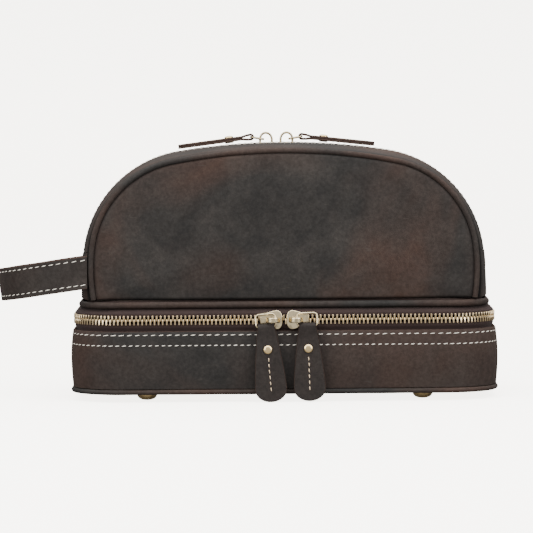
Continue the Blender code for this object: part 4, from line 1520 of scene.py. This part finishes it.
def pull_piece(place):
    """A leather strip folded over the ring's bar."""
    path = pull_path()
    stations = []
    halves = []
    for i, (y, z) in enumerate(path):
        before = Vector(path[max(i - 1, 0)])
        after = Vector(path[min(i + 1, len(path) - 1)])
        run = (after - before).normalized()
        stations.append((Vector((0, y, z)), Vector((0, run.y, -run.x)), Vector((1, 0, 0))))
        halves.append(pull_half(z))
    section, flags = slab(2.0, LAYER, 0.0004, 3, 8)

    def rule(i):
        half = halves[i]
        points = []
        for o, u in section:
            reach = half - (1.0 - abs(u)) if abs(u) > 0.99 else half * abs(u)
            points.append((o, math.copysign(max(reach, 0.0), u)))
        return points

    bm = sweep(stations, rule, edges=flags)
    bmesh.ops.transform(bm, matrix=place, verts=bm.verts)
    return bm


def rivet_piece(place):
    """Rivet with a domed cap in front and a flat one behind."""
    profile = [(0.0, -0.0026), (0.0008, -0.00258), (0.0017, -0.00248), (0.0024, -0.0022)]
    profile += [(0.0027, -0.0019), (0.0028, -0.0017), (0.00275, -0.00135), (0.0012, -0.0013)]
    profile += [(0.0012, 0.0013), (0.00275, 0.00135), (0.0028, 0.0017), (0.0026, 0.0020)]
    profile += [(0.0020, 0.0021), (0.0, 0.0021)]
    bm = turned(profile, 28)
    turn = Matrix.Rotation(math.radians(-90), 4, "X")
    shift = Matrix.Translation((0, 0, -RIVET_DROP + 0.0006))
    bmesh.ops.transform(bm, matrix=place @ shift @ turn, verts=bm.verts)
    return bm


def slider_frames():
    """Frames of slider, ring and pull for each of the four sliders."""
    frames = {}
    chain_y = -(TRAY_Y - CHAIN_IN)
    for tag, side, wire, lean in (("lower_left", -1, 0.0044, -4.3), ("lower_right", 1, 0.00675, -1.7)):
        meet = Vector((side * 0.0013, chain_y, CHAIN_Z))
        slider = stand(meet, (side, 0, 0), (0, -1, 0))
        hook = Vector((side * (0.0013 + wire), chain_y - RING_LIFT, CHAIN_Z))
        turn = Matrix.Rotation(math.radians(lean), 4, "Y")
        swing = Matrix.Translation(hook) @ turn @ Matrix.Rotation(math.radians(-8.0), 4, "X")
        ring = swing @ Matrix.Translation((side * RING_X, 0, 0))
        bar = ring @ Vector((0, 0, -RING_Z))
        pull = Matrix.Translation(bar) @ turn @ Matrix.Rotation(math.radians(-2.0), 4, "X")
        frames[tag] = (slider, ring, pull)
    radius = 0.430 - TOP_CHAIN_DEPTH
    centre = Vector((0, 0, CREST_TOP - 0.430))
    for tag, side, meet, dip in (("top_left", -1, -0.0047, 7.3), ("top_right", 1, -0.0035, 6.2)):
        angle = math.asin((meet + side * SLIDER_LENGTH / 2) / radius)
        normal = Vector((math.sin(angle), 0, math.cos(angle)))
        run = Vector((side * math.cos(angle), 0, -side * math.sin(angle)))
        origin = centre + normal * radius - run * (SLIDER_LENGTH / 2)
        slider = stand(origin, run, normal)
        hook = slider @ Vector((0.0076, 0, RING_LIFT))
        tilt = math.radians(10.0)
        down = Vector((side * math.cos(tilt), 0, math.sin(tilt)))
        ring = stand(hook, (0, side, 0), -down) @ Matrix.Translation((0, 0, -RING_Z))
        bar = ring @ Vector((0, 0, -RING_Z))
        fall = math.radians(dip)
        low = Vector((side * math.cos(fall), 0, -math.sin(fall)))
        pull = stand(bar, (0, side, 0), -low)
        frames[tag] = (slider, ring, pull)
    return frames


def pull_stitches(tag, place, length_of_row, seed):
    """Hand stitches down the middle of a pull, front and back."""
    thread = bpy.context.scene.kit_bag_thread
    start, end, pitch = length_of_row
    count = int((end - start) / pitch)
    for face, out in (("front", -1.0), ("back", 1.0)):
        spots = []
        for i in range(count):
            z = -start - pitch * (i + 0.5)
            x = 0.0003 * noise.noise(Vector((i * 1.7, seed, out)))
            point = place @ Vector((x, out * (LAYER_MID + LAYER / 2 + 0.0001), z))
            run = place.to_3x3() @ Vector((0, 0, -1))
            spots.append((point, run, place.to_3x3() @ Vector((0, out, 0))))
        stitches(
            f"{tag}_pull_stitches_{face}", spots, pitch, 0.64, thread.width, f"{tag}_pull",
            look="pull_thread", slant=4.0 if out < 0 else -4.0,
        )


def build_hardware():
    """Four sliders, each with its ring, leather pull and rivet."""
    for number, (tag, (slider, ring, pull)) in enumerate(slider_frames().items()):
        # painted shade: the top zip's sliders and rings take the darker copy of the same brass
        metal_look = "shaded_brass" if tag.startswith("top") else "bright"
        for part, bm, look, body, slot in (
            ("slider", slider_piece(slider), metal_look, "slider", "brass_bright"),
            ("ring", ring_piece(ring), metal_look, "ring", "brass_bright"),
            ("pull", pull_piece(pull), "pull", "pull", "leather_body"),
            ("rivet", rivet_piece(pull), "rivet", "pull", "brass_bright"),
        ):
            show(f"{tag}_{part}_detail", bm, look, f"{tag}_{body}", [f"{tag}_{part}"], slot)
        pull_stitches(tag, pull, (0.0185, 0.0425, 0.0037), number * 2.3)


# ------------------------------------------------------------------ stage


def build_stage():
    """Floor that curves up all round, soft light and the camera."""
    care = bpy.context.scene.kit_bag_stage
    floor_z = CAD_BOX[0][2]
    material, tree, shader = new_material("stage_paper", 0.95)
    place = add(tree, "ShaderNodeTexCoord").outputs["Object"]
    paper_color = tuple(care.floor)
    mottled = tuple(c * 0.985 for c in paper_color)
    tone = mix(tree, noise_node(tree, place, 3.0), paper_color, mottled)
    tree.links.new(tone, shader.inputs["Base Color"])
    shader.inputs["Emission Color"].default_value = (1.0, 0.965, 0.89, 1.0)
    shader.inputs["Emission Strength"].default_value = care.glow
    flat = 5.5  # radius of the flat floor
    bend = 1.0  # radius of the curve up to the wall
    wall = 4.0
    steps = 24
    profile = [(0.0, floor_z), (flat, floor_z)]
    for i in range(1, steps + 1):
        angle = math.pi / 2 * i / steps
        out = flat + bend * math.sin(angle)
        profile.append((out, floor_z + bend * (1.0 - math.cos(angle))))
    profile.append((flat + bend, floor_z + wall))
    bm = turned(profile, 96)
    mesh = bpy.data.meshes.new("stage_paper")
    bm.to_mesh(mesh)
    bm.free()
    mesh.shade_smooth()
    mesh.materials.append(material)
    paper = bpy.data.objects.new("stage_paper", mesh)
    bpy.context.collection.objects.link(paper)
    paper.visible_diffuse = False
    paper.visible_glossy = False
    paper.visible_shadow = False

    world = bpy.data.worlds.new("studio")
    world.use_nodes = True
    back = world.node_tree.nodes["Background"]
    sky = world.node_tree
    way = add(sky, "ShaderNodeTexCoord").outputs["Generated"]
    parts = add(sky, "ShaderNodeSeparateXYZ", {0: way})
    high = level(sky, parts.outputs["Z"], 0.38, 0.75)
    front = level(sky, math_node(sky, "MULTIPLY", parts.outputs["Y"], -1.0), 0.15, 0.80)
    low = mix(sky, front, (0.09, 0.087, 0.083), (0.24, 0.235, 0.23))
    tone = mix(sky, high, low, (1.0, 0.99, 0.975))
    sky.links.new(tone, back.inputs["Color"])
    back.inputs["Strength"].default_value = care.world
    bpy.context.scene.world = world
    for name, spot, aim, size, power in (
        ("key", (0.1, -0.35, 1.25), (0, 0, 0.08), 1.5, care.key),
        ("fill_left", (-1.3, -1.1, 0.55), (0, 0, 0.08), 1.1, care.fill),
        ("fill_right", (1.3, -1.0, 0.65), (0, 0, 0.08), 1.1, care.fill),
    ):
        light = bpy.data.lights.new(name, "AREA")
        light.energy = power
        light.size = size
        lamp = bpy.data.objects.new(name, light)
        lamp.location = spot
        lamp.rotation_euler = (Vector(aim) - Vector(spot)).to_track_quat("-Z", "Y").to_euler()
        bpy.context.collection.objects.link(lamp)

    camera = bpy.data.cameras.new("camera")
    camera.lens = care.lens
    camera.sensor_width = 36.0
    camera.clip_end = 50.0
    eye = bpy.data.objects.new("camera", camera)
    target = Vector((-0.0110, 0.0, 0.0771))
    tilt = math.radians(3.0)
    eye.location = target + care.distance * Vector((0, -math.cos(tilt), math.sin(tilt)))
    look = (target - eye.location).to_track_quat("-Z", "Y")
    eye.rotation_euler = (look.to_matrix() @ Matrix.Rotation(math.radians(-0.45), 3, "Z")).to_euler()
    bpy.context.collection.objects.link(eye)
    bpy.context.scene.camera = eye


# ------------------------------------------------------------------ operators and panel


class KIT_OT_looks(bpy.types.Operator):
    """Make the leather, fabric and metal finishes"""

    bl_idname = "kit_bag.looks"
    bl_label = "Materials"

    def execute(self, context):
        make_looks()
        return {"FINISHED"}


class KIT_OT_tray_wall(bpy.types.Operator):
    """Build the tray's leather wall"""

    bl_idname = "kit_bag.tray_wall"
    bl_label = "Tray wall"

    def execute(self, context):
        build_tray_wall()
        return {"FINISHED"}


class KIT_OT_tray_stitches(bpy.types.Operator):
    """Sew the two rows round the tray"""

    bl_idname = "kit_bag.tray_stitches"
    bl_label = "Tray stitches"

    def execute(self, context):
        build_tray_stitches()
        return {"FINISHED"}


class KIT_OT_base(bpy.types.Operator):
    """Build the base and its welt"""

    bl_idname = "kit_bag.base"
    bl_label = "Base"

    def execute(self, context):
        build_base()
        return {"FINISHED"}


class KIT_OT_feet(bpy.types.Operator):
    """Turn the four domed feet"""

    bl_idname = "kit_bag.feet"
    bl_label = "Feet"

    def execute(self, context):
        build_feet()
        return {"FINISHED"}


class KIT_OT_tray_lining(bpy.types.Operator):
    """Line the tray with fabric"""

    bl_idname = "kit_bag.tray_lining"
    bl_label = "Tray lining"

    def execute(self, context):
        build_tray_lining()
        return {"FINISHED"}


class KIT_OT_lower_zip(bpy.types.Operator):
    """Build the tape, teeth and stops of the lower zip"""

    bl_idname = "kit_bag.lower_zip"
    bl_label = "Lower zip"

    def execute(self, context):
        build_lower_zip()
        return {"FINISHED"}


class KIT_OT_hinge(bpy.types.Operator):
    """Build the leather hinge at the back"""

    bl_idname = "kit_bag.hinge"
    bl_label = "Hinge strip"

    def execute(self, context):
        build_hinge()
        return {"FINISHED"}


class KIT_OT_rim(bpy.types.Operator):
    """Build the rolled rim and the floor above the tray"""

    bl_idname = "kit_bag.rim"
    bl_label = "Rim"

    def execute(self, context):
        build_rim()
        return {"FINISHED"}


class KIT_OT_panels(bpy.types.Operator):
    """Build the front and back panels"""

    bl_idname = "kit_bag.panels"
    bl_label = "Panels"

    def execute(self, context):
        build_panels()
        return {"FINISHED"}


class KIT_OT_arch_piping(bpy.types.Operator):
    """Roll the piping round both panels"""

    bl_idname = "kit_bag.arch_piping"
    bl_label = "Piping"

    def execute(self, context):
        build_arch_piping()
        return {"FINISHED"}


class KIT_OT_gussets(bpy.types.Operator):
    """Build the gusset strips and ends"""

    bl_idname = "kit_bag.gussets"
    bl_label = "Gussets"

    def execute(self, context):
        build_gussets()
        return {"FINISHED"}


class KIT_OT_linings(bpy.types.Operator):
    """Build the fabric of the main compartment"""

    bl_idname = "kit_bag.linings"
    bl_label = "Linings"

    def execute(self, context):
        build_linings()
        return {"FINISHED"}


class KIT_OT_top_zip(bpy.types.Operator):
    """Build the zip over the crest"""

    bl_idname = "kit_bag.top_zip"
    bl_label = "Top zip"

    def execute(self, context):
        build_top_zip()
        return {"FINISHED"}


class KIT_OT_strap(bpy.types.Operator):
    """Build the looped hand strap"""

    bl_idname = "kit_bag.strap"
    bl_label = "Hand strap"

    def execute(self, context):
        build_strap()
        return {"FINISHED"}


class KIT_OT_hardware(bpy.types.Operator):
    """Build sliders, rings, pulls and rivets"""

    bl_idname = "kit_bag.hardware"
    bl_label = "Sliders and pulls"

    def execute(self, context):
        build_hardware()
        return {"FINISHED"}


class KIT_OT_stage(bpy.types.Operator):
    """Set the floor, the light and the camera"""

    bl_idname = "kit_bag.stage"
    bl_label = "Stage"

    def execute(self, context):
        build_stage()
        return {"FINISHED"}


OPERATORS = (
    KIT_OT_looks,
    KIT_OT_tray_wall,
    KIT_OT_tray_stitches,
    KIT_OT_base,
    KIT_OT_feet,
    KIT_OT_tray_lining,
    KIT_OT_lower_zip,
    KIT_OT_hinge,
    KIT_OT_rim,
    KIT_OT_panels,
    KIT_OT_arch_piping,
    KIT_OT_gussets,
    KIT_OT_linings,
    KIT_OT_top_zip,
    KIT_OT_strap,
    KIT_OT_hardware,
    KIT_OT_stage,
)
GROUPS = (
    (KitBagLeather, "kit_bag_leather"),
    (KitBagThread, "kit_bag_thread"),
    (KitBagZip, "kit_bag_zip"),
    (KitBagMetal, "kit_bag_metal"),
    (KitBagStage, "kit_bag_stage"),
)


class KIT_PT_bag(bpy.types.Panel):
    """Lists the bag's settings and the steps that build it."""

    bl_idname = "KIT_PT_bag"
    bl_label = "Shaving Kit Bag"
    bl_space_type = "VIEW_3D"
    bl_region_type = "UI"
    bl_category = "Kit Bag"

    def draw(self, context):
        layout = self.layout
        for group, attribute in GROUPS:
            box = layout.box()
            box.label(text=group.__doc__)
            settings = getattr(context.scene, attribute)
            for key in group.__annotations__:
                box.prop(settings, key)
        column = layout.column(align=True)
        for cls in OPERATORS:
            column.operator(cls.bl_idname, text=cls.bl_label)


def register():
    """Registers the property groups, operators and panel."""
    for group, attribute in GROUPS:
        bpy.utils.register_class(group)
        setattr(bpy.types.Scene, attribute, bpy.props.PointerProperty(type=group))
    for cls in OPERATORS:
        bpy.utils.register_class(cls)
    bpy.utils.register_class(KIT_PT_bag)


def unregister():
    """Takes everything off again."""
    bpy.utils.unregister_class(KIT_PT_bag)
    for cls in reversed(OPERATORS):
        bpy.utils.unregister_class(cls)
    for group, attribute in reversed(GROUPS):
        delattr(bpy.types.Scene, attribute)
        bpy.utils.unregister_class(group)


def main():
    """Builds the whole bag."""
    register()
    for cls in OPERATORS:
        family, step = cls.bl_idname.split(".")
        getattr(getattr(bpy.ops, family), step)()


if __name__ == "__main__":
    main()
